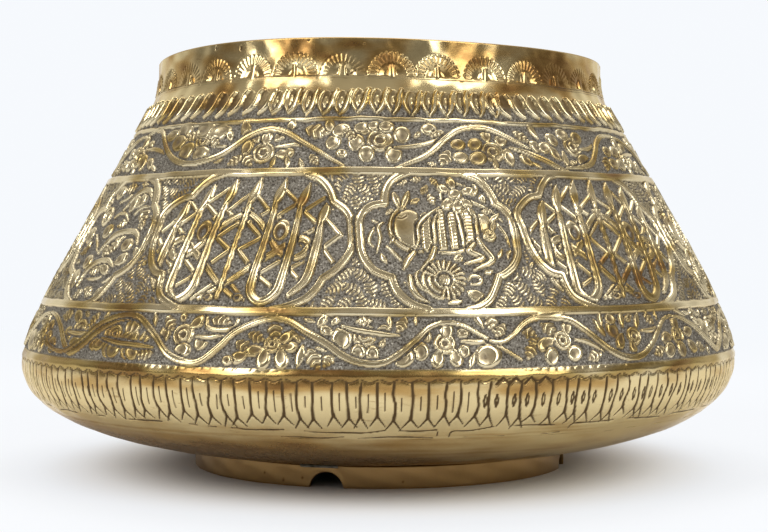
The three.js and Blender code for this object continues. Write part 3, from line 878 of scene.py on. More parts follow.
@dataclass
class UpperVine(VineBand):
    """The vine between the shoulder's leaves and the panels."""

    trough: float = 101.6
    crest: float = 113.0
    low: float = 102.0
    high: float = 114.0
    first_crest: float = 59.0
    pitch: float = 40.2
    back_crests: int = 7

    def chase(self, bowl: Field) -> None:
        """Works the front as the photograph shows it and carries its clusters round the back."""
        for spots in (self.TROUGH_LEFT, self.CREST_LEFT, self.TROUGH_MIDDLE, self.CREST_RIGHT, self.TROUGH_RIGHT):
            self.scatter(bowl, spots)
        for number in range(self.back_crests):
            crest = self.first_crest + self.pitch * number
            flip = number % 3 == 1
            self.carry(bowl, self.CRESTS[number % 2], crest, flip)
            if number < self.back_crests - 1:
                self.carry(bowl, self.TROUGHS[number % 3], crest + 0.5 * self.pitch, flip)
        self.lines(bowl, TWIG, self.FRONT_TWIGS)
        for turn in (80.4, 120.6, 160.8, 201.0, 241.2):
            self.lines(bowl, TWIG, self.FRONT_TWIGS[:2], turn)
        self.wave(bowl, (59.0, 99.2, 139.4, 179.6, 219.8, 260.0, 300.2))
        self.lines(bowl, STEM, self.FRONT_STEMS)
        self.fill(bowl, self.low, self.high)

    FRONT_STEMS = (
        ((-60, 113), (-57, 114.2), (-53, 113.4), (-50, 109.6), (-46, 105.4), (-42, 103),
         (-38, 102.4), (-34, 103.6), (-31, 105.4), (-27, 109.6), (-24, 111.8), (-21, 112.2),
         (-18, 110.9), (-15, 108.4), (-12, 105.9), (-9, 103), (-6.4, 100.6)),
        ((1.5, 98.8), (5, 101.3), (8, 103.4), (10.5, 106.2), (13, 109.6), (15.5, 112), (19, 113.1),
         (22, 112.7), (25, 110.8), (28, 108.2), (30.4, 105.9)),
        ((25.6, 106.6), (29, 105.5), (32, 103.6), (35, 101.2), (37.2, 99.9)),
        ((37.5, 100.9), (42, 101.5), (45.5, 103.2), (48.4, 107), (51, 110.4), (54.5, 112.7), (59, 113)),
    )
    FRONT_TWIGS = (
        ((2.8, 106.3), (6, 106.7), (9, 107.7), (12.4, 109.6)),
        ((-13.3, 107.3), (-15.5, 107.4), (-18, 107), (-20, 106.6)),
        ((43.5, 107.4), (47, 108), (50.6, 110.2)),
        ((-33.5, 107.6), (-31.4, 107.5)),
        ((-56.5, 108.2), (-52, 107.8), (-48.5, 106.4)),
    )
    TROUGH_LEFT = (
        (RING, -37.6, 109.4, 2.5, 0), (BERRY, -38.2, 113, 2.4, 0), (BERRY, -44.6, 112.8, 2.4, 20),
        (BERRY, -44.8, 109.3, 2.2, -20), (LEAF, -41.2, 111.2, 1.9, 30), (DROP, -33.8, 111.8, 2.6, 200),
        (BERRY, -41.4, 106.3, 2.3, 60), (BERRY, -37, 105.4, 2, 10), (DROP, -48.2, 112.2, 2, 200),
        (LEAF, -34.3, 108.6, 1.6, -40), (SPIKE, -31.8, 103, 1.3, 20),
    )
    CREST_LEFT = (
        (RING, -22.3, 104.9, 2.9, 0), (DROP, -26.1, 106.8, 2, 80), (LEAF, -25.4, 103.1, 2, 130),
        (DROP, -22.4, 109.5, 1.7, 90), (DROP, -19.6, 110.2, 1.6, 60), (DROP, -24.8, 109.8, 1.5, 120),
        (DROP, -17.9, 104.6, 1.9, 10), (SPIKE, -19.9, 101.9, 1.5, 80), (SPIKE, -17.1, 102.2, 1.5, 100),
        (SPIKE, -14.3, 101.4, 1.4, 110), (LEAF, -12, 102.6, 1.5, 130), (LEAF, -28, 102.9, 1.8, 40),
        (DROP, -27.8, 113, 1.7, -70), (DROP, -31, 110.6, 1.2, 120),
    )
    TROUGH_MIDDLE = (
        (RING, 0.1, 108.4, 3.2, 0), (BERRY, -3.2, 112.2, 1.7, 0), (BERRY, -0.9, 112.9, 1.3, 0),
        (BERRY, 1.4, 112.7, 1.5, 0), (BERRY, 4.3, 110.4, 1.9, 90), (BERRY, -4.4, 108, 1.9, 90),
        (BERRY, -2.4, 104.4, 1.8, 90), (BERRY, 2.6, 104.3, 1.9, 90), (BERRY, -8.7, 108, 1.7, 60),
        (BERRY, -7.4, 111.6, 1.8, 30), (LEAF, -5.6, 110.2, 1.6, 120), (LEAF, -12.2, 111.4, 2.6, 170),
        (DROP, -9.8, 112.9, 1.4, 100), (DROP, -17.7, 113, 1.3, 80), (BERRY, 9.7, 112.1, 1.6, 0),
        (LEAF, 11.2, 110.6, 1.6, 25),
    )
    CREST_RIGHT = (
        (RING, 21.6, 105.2, 2.9, 0), (BERRY, 15, 107.5, 1.5, 10), (BERRY, 18.4, 107.7, 1.6, 40),
        (DROP, 21.1, 110.4, 1.6, 90), (BERRY, 24.1, 109.2, 1.5, 60), (LEAF, 12.1, 103.2, 2, 60),
        (BERRY, 15.1, 103.4, 1.6, 0), (BERRY, 18.4, 103.3, 1.8, 20), (DROP, 24.7, 103.6, 1.9, 100),
        (SPIKE, 21.6, 101.4, 1.5, 90), (DROP, 28.4, 103, 1.6, 130), (SPIKE, 30.4, 101.6, 1.3, 150),
    )
    TROUGH_RIGHT = (
        (LEAF, 29, 110.6, 1.9, 140), (SPIKE, 32.3, 112.8, 2.2, 112), (BERRY, 31.6, 107.6, 1.5, 130),
        (BERRY, 33.9, 107.4, 1.6, 30), (DROP, 35.9, 105.4, 1.7, 120), (SPIKE, 38.1, 103.7, 2.1, 85),
        (BERRY, 36.6, 110.2, 1.6, 130), (RING, 41.6, 108, 2.9, 0), (BERRY, 43.4, 103.6, 1.9, 10),
        (LEAF, 39.8, 102.4, 1.4, 30), (BERRY, 44.2, 111.2, 1.7, 30), (BERRY, 40.2, 112.2, 1.6, 0),
    )
    CRESTS = ((CREST_RIGHT, 20.5), (CREST_LEFT, -22.0))
    TROUGHS = ((TROUGH_LEFT, -40.0), (TROUGH_MIDDLE, -1.5), (TROUGH_RIGHT, 37.5))


@dataclass
class LowerVine(VineBand):
    """The vine between the panels and the bead."""

    trough: float = 44.2
    crest: float = 55.4
    low: float = 44.6
    high: float = 57.0
    first_crest: float = 48.0
    back_turn: float = 274.5
    back_crests: int = 12

    def chase(self, bowl: Field) -> None:
        """Works the front as the photograph shows it and carries its clusters round the back."""
        pitch = self.back_turn / (self.back_crests - 1)
        crests = tuple(self.first_crest + pitch * number for number in range(self.back_crests))
        for spots in (self.UNDER_LEFT, self.OVER_LEFT, self.UNDER_MIDDLE, self.OVER_MIDDLE,
                      self.UNDER_RIGHT, self.LEAVES_RIGHT, self.OVER_RIGHT, self.UNDER_FAR):
            self.scatter(bowl, spots)
        for number, crest in enumerate(crests):
            flip = number % 4 == 2
            if number:
                self.carry(bowl, self.UNDER[number % 3], crest, flip)
            if number < self.back_crests - 1:
                self.carry(bowl, self.OVER[number % 3], crest + 12.5, flip)
                self.lines(bowl, TWIG, self.FRONT_TWIGS[1:2], crest + 14.5)
        self.lines(bowl, TWIG, self.FRONT_TWIGS)
        self.wave(bowl, crests)
        self.lines(bowl, STEM, self.FRONT_STEMS)
        self.fill(bowl, self.low, self.high)

    FRONT_STEMS = (
        ((-60, 48.4), (-58, 45.6), (-54, 44.2), (-50.6, 45.2), (-47.5, 49.2), (-45, 52.6), (-42.5, 55),
         (-40, 56.2), (-37, 56), (-34.5, 53.4), (-32, 49.6), (-29.8, 45.8), (-27.4, 44), (-25.4, 43.6),
         (-23.8, 44.8), (-21.6, 48.8), (-19.8, 52.4), (-17, 55.2), (-14.5, 56.4), (-12.2, 55.6), (-10, 53),
         (-7, 49.6), (-4.6, 46.2), (-2.2, 44.4), (0.4, 44.4), (2.6, 47), (5, 51), (6.8, 54.2),
         (9, 55.4), (11.4, 54.4), (14, 51.4), (16.4, 48.2), (18.9, 44.9)),
        ((14.9, 50.2), (16.6, 49.9), (18.3, 51.8), (19.8, 54.4), (21.8, 56.2), (24.4, 56.4), (27.2, 55.6),
         (29.4, 52.8), (31.4, 49.6), (33.6, 46.2), (36.2, 44.2), (39, 44.6), (41.6, 47.6), (44, 51.8),
         (46.2, 54.6), (48, 55.4)),
    )
    FRONT_TWIGS = (
        ((-25.8, 51), (-23.6, 50.8), (-21.6, 51.9), (-19.4, 53.2)),
        ((-37.5, 57), (-36.6, 56.6), (-35, 54.6)),
        ((-43, 49.2), (-39.5, 48.2), (-35.6, 47.8), (-32.6, 47.4)),
        ((11, 50.2), (12.8, 49.9), (14.6, 50.3)),
        ((27.6, 49.9), (29.4, 49.2), (31.4, 47.4), (33.6, 45.4)),
        ((40.2, 51.6), (42.4, 51.7), (44.4, 52.4)),
        ((-52.4, 50.2), (-49.6, 50), (-47.8, 50.6)),
        ((-8.2, 48.4), (-7, 48.1), (-6, 48)),
        ((-5, 54.4), (-2.6, 53.2), (0.6, 52.2), (2.6, 51.8)),
        ((-24.6, 56.4), (-24.2, 53.6), (-22.2, 52.9), (-20.2, 53.6), (-19.8, 56)),
    )
    UNDER_LEFT = (
        (RING, -41.4, 50.6, 2.2, 0), (DROP, -38, 49.8, 1.9, 20), (DROP, -37.8, 53.2, 1.9, 70),
        (BERRY, -41, 46.2, 1.9, 20), (BERRY, -37.2, 45.8, 1.7, 150), (DROP, -44.2, 47.4, 1.7, 200),
        (LEAF, -34.6, 45.4, 1.8, 10), (SPIKE, -34.8, 50.6, 1.5, 60),
    )
    OVER_LEFT = (
        (RING, -27.8, 51.2, 2.7, 0), (BERRY, -31, 51.4, 1.6, 90), (LEAF, -30.6, 54.4, 1.9, 130),
        (BERRY, -27.5, 46.9, 1.8, 10), (BERRY, -24.7, 49.6, 1.7, 60), (LEAF, -22.2, 55.2, 2.2, 170),
        (DROP, -26, 54.8, 1.7, 40), (SPIKE, -33.4, 55.2, 1.5, 110),
    )
    UNDER_MIDDLE = (
        (RING, -14.3, 49.2, 1.9, 0), (LEAF, -14.2, 53.3, 2.3, 100), (LEAF, -10.9, 52.2, 2.5, 60),
        (DROP, -12, 48.7, 1.6, 0), (DROP, -12.6, 51, 1.5, 40), (LEAF, -16.7, 51.2, 1.8, 160),
        (LEAF, -18.2, 48.3, 2.1, 150), (DROP, -16.6, 47.4, 1.7, 190), (DROP, -18.7, 45.6, 1.7, 200),
        (DROP, -15.3, 45.4, 1.9, 260), (DROP, -12.9, 45.4, 1.9, 280), (BERRY, -20.4, 44.6, 1.1, 0),
        (SPIKE, -10.4, 46.2, 2.2, 80), (LEAF, -8.6, 45.4, 2.2, 120), (LEAF, -6.6, 45.2, 1.7, 60),
    )
    OVER_MIDDLE = (
        (RING, -2, 51.8, 2.6, 0), (BERRY, -5, 51.2, 2.1, 95), (BERRY, -2.8, 47.4, 1.5, 90),
        (BERRY, -0.9, 47, 1.4, 90), (LEAF, -2.1, 55.8, 1.5, 0), (BERRY, 0.6, 53.2, 1.3, 30),
        (DROP, -7, 53, 1.3, 150), (DROP, -7.8, 55.6, 1.2, 60), (LEAF, 3, 54.8, 1.7, 60),
        (SPIKE, 1.4, 55.6, 1.3, 100), (SPIKE, -9.6, 56, 1.2, 160),
    )
    UNDER_RIGHT = (
        (RING, 8.6, 49.6, 2.4, 0), (DROP, 9, 53, 1.7, 90), (BERRY, 6, 51.4, 1.4, 60),
        (BERRY, 5.4, 47.6, 1.7, 90), (BERRY, 3.2, 45.8, 1.9, 30), (DROP, 7.6, 45.6, 1.7, 260),
        (DROP, 10, 45.8, 1.7, 280), (BERRY, 11.2, 52.4, 1.1, 0), (BERRY, 11.2, 47.6, 1.2, 90),
        (BERRY, 14.4, 46.2, 2.6, 20), (SPIKE, 12.2, 45, 1.5, 70),
    )
    LEAVES_RIGHT = (
        (LEAF, 20.6, 52.2, 1.9, 150), (LEAF, 21.1, 49.4, 1.7, 30), (LEAF, 20.5, 47.2, 1.9, 60),
        (LEAF, 23.7, 53.6, 2.3, 125), (RING, 25.5, 49.8, 2.2, 0), (DROP, 22.9, 49, 1.9, 210),
        (DROP, 26.6, 53.4, 1.6, 70), (BERRY, 23.5, 45.6, 1.7, 80), (BERRY, 27.2, 46.2, 1.7, 20),
        (LEAF, 15.4, 55.2, 2, 100), (LEAF, 16.5, 53, 1.6, 50), (SPIKE, 13.6, 55.8, 1.7, 120),
        (LEAF, 30.4, 45.2, 1.8, 20),
    )
    OVER_RIGHT = (
        (SPIKE, 32.2, 53, 2, 120), (SPIKE, 32.7, 55.4, 1.6, 85), (SPIKE, 36.7, 55.2, 1.9, 84),
        (SPIKE, 39.8, 54.6, 2, 66), (BERRY, 34.4, 52.4, 1.7, 110), (RING, 38.3, 50.2, 2.2, 0),
        (DROP, 35.4, 49, 1.7, 240), (DROP, 37.6, 47.2, 1.4, 270), (LEAF, 42.6, 55, 1.7, 120),
        (BERRY, 34.6, 55.4, 1.3, 0),
    )
    UNDER_FAR = (
        (RING, 48.4, 49.6, 2.4, 0), (DROP, 48.6, 53, 1.7, 90), (BERRY, 45.4, 49, 1.6, 20),
        (BERRY, 45.6, 45.6, 1.7, 40), (BERRY, 48.6, 45.6, 1.7, 90), (DROP, 51.4, 50.4, 1.6, 10),
        (LEAF, 43, 45.4, 1.8, 20), (DROP, 51.6, 46.2, 1.7, -40), (LEAF, 54.4, 45.6, 1.7, 150),
    )
    UNDER = ((UNDER_MIDDLE, -14.5), (UNDER_RIGHT, 8.7), (UNDER_LEFT, -38.5))
    OVER = ((OVER_MIDDLE, -2.2), (OVER_LEFT, -27.3), (OVER_RIGHT, 36.5))


class PanelKind(Enum):
    """The two kinds of panel; each has its left and its right side, as arcs that meet in cusps."""

    WIDE = (
        (((-5.9, 98.8), (-7.2, 98.3), (-8.9, 97.1), (-10.7, 94.5), (-11.8, 92)),
         ((-11.8, 92), (-13.9, 91.3), (-16, 89), (-17.3, 86.3), (-17, 82.5), (-16.8, 78.4), (-16.4, 75.5),
          (-15.5, 71.9), (-13.9, 69.3), (-12.1, 68.4)),
         ((-12.1, 68.4), (-11.8, 64.8), (-10.9, 61.9), (-8.9, 59.8), (-7.2, 58.6))),
        (((9.6, 98.8), (10.9, 97.7), (12.7, 96.5), (14.4, 93.6), (15.4, 89.9)),
         ((15.4, 89.9), (17.3, 87.5), (18.3, 84.8), (18.6, 80.7), (18.7, 76.6), (18, 73.7), (16.5, 70.1),
          (14.7, 67.6)),
         ((14.7, 67.6), (13.9, 64.8), (12.3, 61.6), (9.8, 59.5), (7.6, 58.6))),
    )
    ROUND = (
        (((-4.4, 98.6), (-5.8, 97.7), (-7.4, 95.9), (-8.3, 93.5), (-8.6, 90.4), (-8.6, 89.2)),
         ((-8.6, 89.2), (-10.4, 88.7), (-11.9, 87.1), (-12.6, 84.7), (-12.5, 81.4), (-12.3, 78.1), (-12.1, 75.4),
          (-11.4, 72.6), (-10.1, 69.8), (-8.4, 68.4), (-7.6, 68)),
         ((-7.6, 68), (-7.3, 65.9), (-6.6, 63.4), (-4.8, 60.4), (-2.6, 58.9))),
        (((5, 98.4), (6.4, 97.6), (8, 96.4), (9.2, 94), (10, 91), (10.2, 89.3)),
         ((10.2, 89.3), (11.3, 88), (12.2, 85.5), (12.5, 82.4), (12.3, 78.1), (12, 74.3), (10.8, 70.9),
          (9.2, 68.7), (8.2, 67.9)),
         ((8.2, 67.9), (7.5, 65.4), (6.2, 61.5), (4.5, 59.4), (3, 58.7))),
    )


@dataclass(frozen=True)
class Panel:
    """One panel of the main band; a scale below 1 makes it narrower, and a flip mirrors its outline."""

    kind: PanelKind
    middle: float
    scale: float = 1.0
    leafy: bool = False
    flip: bool = False

    def sides(self) -> list[list[Knots]]:
        """The panel's sides.

        Returns:
            The arcs of the left and the right side, as azimuths and heights.
        """
        scale = -self.scale if self.flip else self.scale
        found = [[[(a * scale + self.middle, z) for a, z in arc] for arc in side] for side in self.kind.value]
        return found[::-1] if self.flip else found

    def outside(self, azimuth: Array, height: float) -> Array:
        """How far places at one height lie outside the panel.

        Args:
            azimuth: Azimuths of the places.
            height: Their height.

        Returns:
            Degrees, less than 0 inside.
        """
        turn = signed(azimuth - self.middle)
        edges = []
        for side in self.sides():
            line = np.vstack(side)[::-1]
            edges.append(float(np.interp(height, line[:, 1], line[:, 0])) - self.middle)
        return np.maximum(edges[0] - turn, turn - edges[1])


@dataclass
class PanelBand(Ornament):
    """The main band: wide and round panels that touch, and hatched leaves between them."""

    low: float = 58.3
    high: float = 98.9
    edge: Stroke = Stroke(3.0, 1.1, Section.STRAP, clear=0.5)
    lean: float = 0.06
    net: tuple[float, float] = (4.1, 2.5)
    net_slant: float = 48.0
    animal_home: float = 9.4
    foliage_home: float = -54.8
    rosette_height: float = 67.3

    def layout(self) -> list[Panel]:
        """The four front panels as measured, and eight that share what is left of the turn.

        Returns:
            Every panel of the band.
        """
        panels = [Panel(PanelKind.ROUND, -54.0, leafy=True), Panel(PanelKind.WIDE, -22.9),
                  Panel(PanelKind.ROUND, 9.4), Panel(PanelKind.WIDE, 39.7, 0.96)]
        for number, middle in enumerate((70.9, 100.9, 130.1, 158.7, 187.1, 215.7, 244.9, 274.9)):
            kind = PanelKind.ROUND if number % 2 == 0 else PanelKind.WIDE
            panels.append(Panel(kind, middle, 0.92, number // 2 % 2 == 1, number % 4 > 1))
        return panels

    def chase(self, bowl: Field) -> None:
        """Works the leaves between the panels first, then each panel's filling and edge."""
        panels = self.layout()
        self.diaper(bowl, panels)
        for panel in panels:
            if panel.kind is PanelKind.WIDE:
                self.strapwork(bowl, panel)
            elif panel.leafy:
                self.foliage(bowl, panel)
            else:
                self.animal(bowl, panel)
            for side in panel.sides():
                bowl.joined(side, self.edge)

    def diaper(self, bowl: Field, panels: Sequence[Panel]) -> None:
        """Fills the gaps between panels with hatched leaves in a slanting net.

        Args:
            bowl: The field.
            panels: Every panel of the band.
        """
        leaf = Pad(Outline.LEAF, 0.46, 0.62, 0.0, 6, 0.7, clear=0.3, stain=0.5)
        step_up, step_round = self.net
        for row, height in enumerate(np.arange(self.low + 2.4, self.high - 1.0, step_up)):
            azimuth = np.arange(-180.0, 180.0, step_round) + 0.5 * step_round * (row % 2)
            away = np.min([panel.outside(azimuth, height) for panel in panels], axis=0)
            for place in azimuth[away > 0.5]:
                jitter = self.near(0.25, 3)
                slant = self.net_slant if (row + int(place)) % 2 else -self.net_slant
                bowl.pad(place + jitter[1], height + 2.0 * jitter[2], 3.6, leaf, slant + 110.0 * jitter[0])

    ZIGZAGS = ((2.35, 62.2, 95.6, 1.7), (6.95, 64.0, 94.6, 1.7), (11.4, 65.4, 92.4, 1.6), (15.4, 71.4, 88.4, 1.2))
    LOOPED_STRAP = (
        (-3, 61.6), (0.6, 66), (3.9, 71), (7.3, 75.4), (10.4, 79), (12.2, 77), (10.8, 73.6),
        (7.6, 75.2), (5, 80.4), (2.4, 84.6), (-0.6, 87.6),
    )
    JOINED_REEDS = (
        (4.7, 92.4), (4.85, 80), (4.7, 68), (5.1, 63.4), (6.95, 60.9), (8.8, 63.4), (9.2, 68),
        (9.35, 80), (9.2, 91),
    )
    OUTER_REED = ((13.2, 86.2), (13.35, 78), (13.2, 71), (12.7, 66.6), (10.9, 62.8))
    REED_TIPS = ((0.0, 97.0), (4.7, 96.6), (9.2, 95.2), (13.2, 90.4))
    EYELETS = ((7.0, 81.6, 3.7, 84.0, 0.2), (2.4, 62.0, 1.7, 0.0, 0.0))

    def mirrored(self, bowl: Field, panel: Panel, stroke: Stroke, knots: Knots, smooth: bool = True) -> None:
        """Works a line on both sides of a panel's middle, both leaning a little to the right.

        Args:
            bowl: The field.
            panel: The panel.
            stroke: The tool.
            knots: Degrees from the middle, for a panel of scale 1, and heights.
            smooth: Whether the line flows through the knots.
        """
        for side in (-panel.scale, panel.scale):
            places = [(panel.middle + side * a + self.lean * (z - 78.0), z) for a, z in knots]
            bowl.line(places, stroke, smooth)

    def strapwork(self, bowl: Field, panel: Panel) -> None:
        """Fills a wide panel with bands that mirror about its middle line.

        Zigzag straps run up behind a row of pointed reeds, and a broader strap loops through
        itself across them. The feet of the outer reeds join in a U.

        Args:
            bowl: The field.
            panel: The panel.
        """
        zigzag = Stroke(2.1, 0.85, clear=0.45, start=0.8, end=0.8)
        strap = Stroke(2.9, 0.95, Section.STRAP, clear=0.5, start=0.6, end=0.7)
        reed = Stroke(3.5, 1.1, Section.STRAP, clear=0.5, start=0.55, end=0.55)
        tip_pad = Pad(Outline.LEAF, 1.15, 0.3, clear=0.0)
        eyelet = Pad(Outline.OVAL, 1.0, 0.72, 1.0, clear=0.3, stain=0.8)
        for middle, foot, top, reach in self.ZIGZAGS:
            levels = np.arange(foot, top, 4.3)
            draws = self.near(0.5, 2 * len(levels))
            knots = [(middle + reach * (-1) ** number + 0.5 * draws[number], z + 1.6 * draws[-1 - number])
                     for number, z in enumerate(levels)]
            self.mirrored(bowl, panel, zigzag, knots, False)
        self.mirrored(bowl, panel, strap, self.LOOPED_STRAP)
        self.mirrored(bowl, panel, reed, self.JOINED_REEDS)
        self.mirrored(bowl, panel, reed, self.OUTER_REED)
        for place, top in self.REED_TIPS:
            for side in (-1.0, 1.0) if place else (1.0,):
                azimuth = panel.middle + side * place * panel.scale + self.lean * (top - 82.0)
                if not place:
                    bowl.line([(azimuth - self.lean * 31.0, top - 35.0), (azimuth, top - 4.0)], reed)
                bowl.pad(azimuth + 0.25, top - 4.2, 5.6, tip_pad, 75.0)
        for side in (-1.0, 1.0):
            for place, height, size, turn, shift in self.EYELETS:
                bowl.pad(panel.middle + side * place * panel.scale + shift, height, size, eyelet, turn)

    def animal(self, bowl: Field, panel: Panel) -> None:
        """Works the long-eared, saddled animal over a fluted flower.

        Args:
            bowl: The field.
            panel: The panel; the tables give its places for the front one.
        """
        turn = panel.middle - self.animal_home
        bowl.pad(4.7 + turn, 81.6, 7.0, Pad(Outline.OVAL, 1.1, 0.7, clear=0.3, stain=0.35), 96.0)
        self.lines(bowl, Stroke(1.6, 1.45, clear=0.3, start=0.6, end=0.7), (self.ANIMAL_HEAD,), turn)
        self.lines(bowl, Stroke(0.8, -0.4, stain=0.7), (self.ANIMAL_EYE,), turn)
        hatch = Stroke(0.45, -0.22, Section.SOFT, stain=0.35)
        for place, foot, top, width in self.ANIMAL_RIBS:
            bowl.line([(place + turn, foot), (place + turn, top)], Stroke(width, 0.95, Section.FLAT, clear=0.35))
            reach = 0.24 * width
            for level in np.arange(foot, top, 0.95):
                bowl.line([(place - reach + turn, level), (place + reach + turn, level + 0.15)], hatch)
        bowl.pad(16.6 + turn, 83.6, 3.4, Pad(Outline.OVAL, 0.95, 0.85, clear=0.3), 70.0)
        self.lines(bowl, VEIN, self.ANIMAL_LINES, turn)
        self.lines(bowl, Stroke(2.3, 1.0, clear=0.4, start=0.8, end=0.5), self.ANIMAL_LIMBS, turn)
        self.scatter(bowl, self.ANIMAL_SPOTS, turn)
        self.rosette(bowl, self.animal_home + turn)
        self.fill(bowl, 61.0, 97.5, 0.7, panel)

    def rosette(self, bowl: Field, azimuth: float) -> None:
        """Works the fluted flower: a round bed, fluted and plain arcs, a ring and a ribbed middle.

        Args:
            bowl: The field.
            azimuth: Azimuth of its middle.
        """
        height = self.rosette_height
        plain = Stroke(1.3, 0.85)
        bowl.pad(azimuth, height, 6.4, Pad(Outline.OVAL, 0.3, 1.0, clear=0.3, stain=0.5))
        bowl.comb(azimuth, height, 4.7, Stroke(3.9, 1.1, Section.FLAT), 21.0, -110.0, 165.0, 0.5)
        bowl.comb(azimuth, height, 4.4, plain, 0.0, 165.0, 250.0)
        bowl.comb(azimuth, height, 6.2, plain, 0.0, 160.0, 255.0)
        bowl.ring(azimuth, height, 2.6, Stroke(1.1, 0.95))
        bowl.pad(azimuth, height, 2.1, Pad(Outline.OVAL, 0.6, 1.0, 0.0, 5, 0.5, stain=0.5))

    ANIMAL_HEAD = ((4.2, 88.2), (2.4, 86.4), (1.6, 82.6), (2.1, 79), (3.7, 76.2), (5.8, 75.2), (8.2, 75.8))
    ANIMAL_EYE = ((2.9, 85), (3.5, 84.6), (4.3, 85.4))
    ANIMAL_RIBS = ((7.4, 76.6, 85.2, 3.9), (9.8, 75.6, 86.6, 2.7), (11.6, 75.8, 85.8, 2.7), (14.1, 77, 86.4, 3.9))
    ANIMAL_LINES = (
        ((9.8, 88.3), (7.4, 85.4), (6.1, 82.8), (6, 79.2), (5.6, 76.4)),
        ((9.3, 86.2), (8.6, 83.6), (8.6, 79.7), (8.4, 76.2)),
        ((12.9, 76.6), (13, 80), (12.8, 84.6), (12.6, 86.2)),
        ((8.4, 75.2), (10.6, 74.8), (12.6, 75.5), (15.3, 77.6)),
        ((15.8, 86), (15.6, 83), (15.5, 80), (15.2, 77.8)),
        ((13.2, 91.4), (16, 89.4), (18.5, 87.2), (20.1, 84)),
        ((18.2, 85.2), (19.4, 82.4), (20.2, 79.6), (20.4, 76.6)),
        ((10.3, 90.4), (10.4, 93.2), (11.6, 95), (13.4, 95.3), (14.9, 94.2)),
        ((14.6, 94.9), (15.4, 92.4), (16.4, 92.4), (16.8, 94), (16.2, 95.6)),
        ((3.4, 87.3), (2.7, 89.6), (2.1, 92.4), (3, 91), (3.5, 87.9)),
        ((3.5, 87.6), (4, 90.4), (4.8, 92.6), (4.6, 90.2), (3.8, 87.6)),
        ((-1.2, 84.4), (-0.3, 83.2), (-1.3, 80.6), (-1.6, 78.2), (-0.9, 76.6)),
        ((0.6, 83.8), (-0.2, 82.4), (0.1, 79.2), (-0.4, 75)),
        ((1.1, 76.8), (2.4, 74.4), (3.7, 71.6)),
        ((5.7, 69.8), (5.2, 68.2), (5.7, 65.6), (6.6, 64)),
        ((3.6, 66.6), (4.6, 64.2), (5.4, 62), (6.6, 60.6)),
        ((12.6, 66.6), (13.6, 68.4), (14.8, 67.8), (14.6, 66.2), (13.2, 66)),
    )
    ANIMAL_LIMBS = (
        ((15.4, 79), (16.1, 76.4), (17.2, 73.4), (16.8, 72.3), (15.6, 71.2), (14.1, 70)),
        ((14.6, 77.4), (13.8, 75.4), (15.6, 73.4), (12.9, 71.8)),
        ((8.4, 76.4), (7.8, 73.6), (6.9, 71.4), (6.1, 70)),
        ((5.2, 75), (4.2, 72.8), (3.6, 70.4)),
        ((4.4, 68.2), (4.6, 65.4), (5.4, 62.8), (6.8, 60.8)),
    )
    ANIMAL_SPOTS = (
        (DROP, 11.3, 89.4, 1.5, 240), (DROP, 12.9, 88.6, 1.5, 270), (DROP, 14.4, 89.4, 1.4, 310),
        (DROP, 10.9, 93.6, 1.3, 150), (DROP, 14.9, 93, 1.3, 20), (DROP, 12.4, 95.2, 1.3, 100),
        (BERRY, 12.8, 92, 1.3, 0), (SPIKE, 18.9, 85.2, 1.6, 40), (SPIKE, 15.2, 86.6, 1.5, 120),
        (RING, 17.4, 79.8, 1.4, 0), (SPIKE, 18.3, 82.6, 1.5, 70), (LEAF, 17.8, 87, 1.1, 0),
        (DROP, 13.7, 62.7, 1.7, -30), (SPIKE, 10.6, 61, 1.5, 10), (BERRY, 11.9, 73.4, 0.9, 0),
        (SPIKE, 18.6, 74.6, 1.2, 60), (LEAF, 3.9, 95.6, 1.1, 20), (LEAF, 7.6, 93.4, 1.2, 60),
        (LEAF, 8.6, 90.6, 1.3, 110), (LEAF, 6.3, 96.6, 1.1, 10), (LEAF, 9.4, 95.8, 1.2, 130),
        (SPIKE, 0.6, 73.4, 1.3, 120), (SPIKE, 2, 78.6, 1, 60), (LEAF, 1.6, 86.8, 0.9, 40),
        (SPIKE, 17, 66.4, 1.3, 60), (LEAF, 16.2, 69.4, 1, 20),
    )

    def foliage(self, bowl: Field, panel: Panel) -> None:
        """Works the round panel that leafy stems and a low flower fill.

        Args:
            bowl: The field.
            panel: The panel; the tables give its places for the one at the front's left.
        """
        turn = panel.middle - self.foliage_home
        self.scatter(bowl, self.FOLIAGE_SPOTS, turn)
        self.lines(bowl, VEIN, self.FOLIAGE_LINES, turn)
        self.lines(bowl, STEM, self.FOLIAGE_STEMS, turn)
        self.fill(bowl, 61.0, 97.5, 0.8, panel)

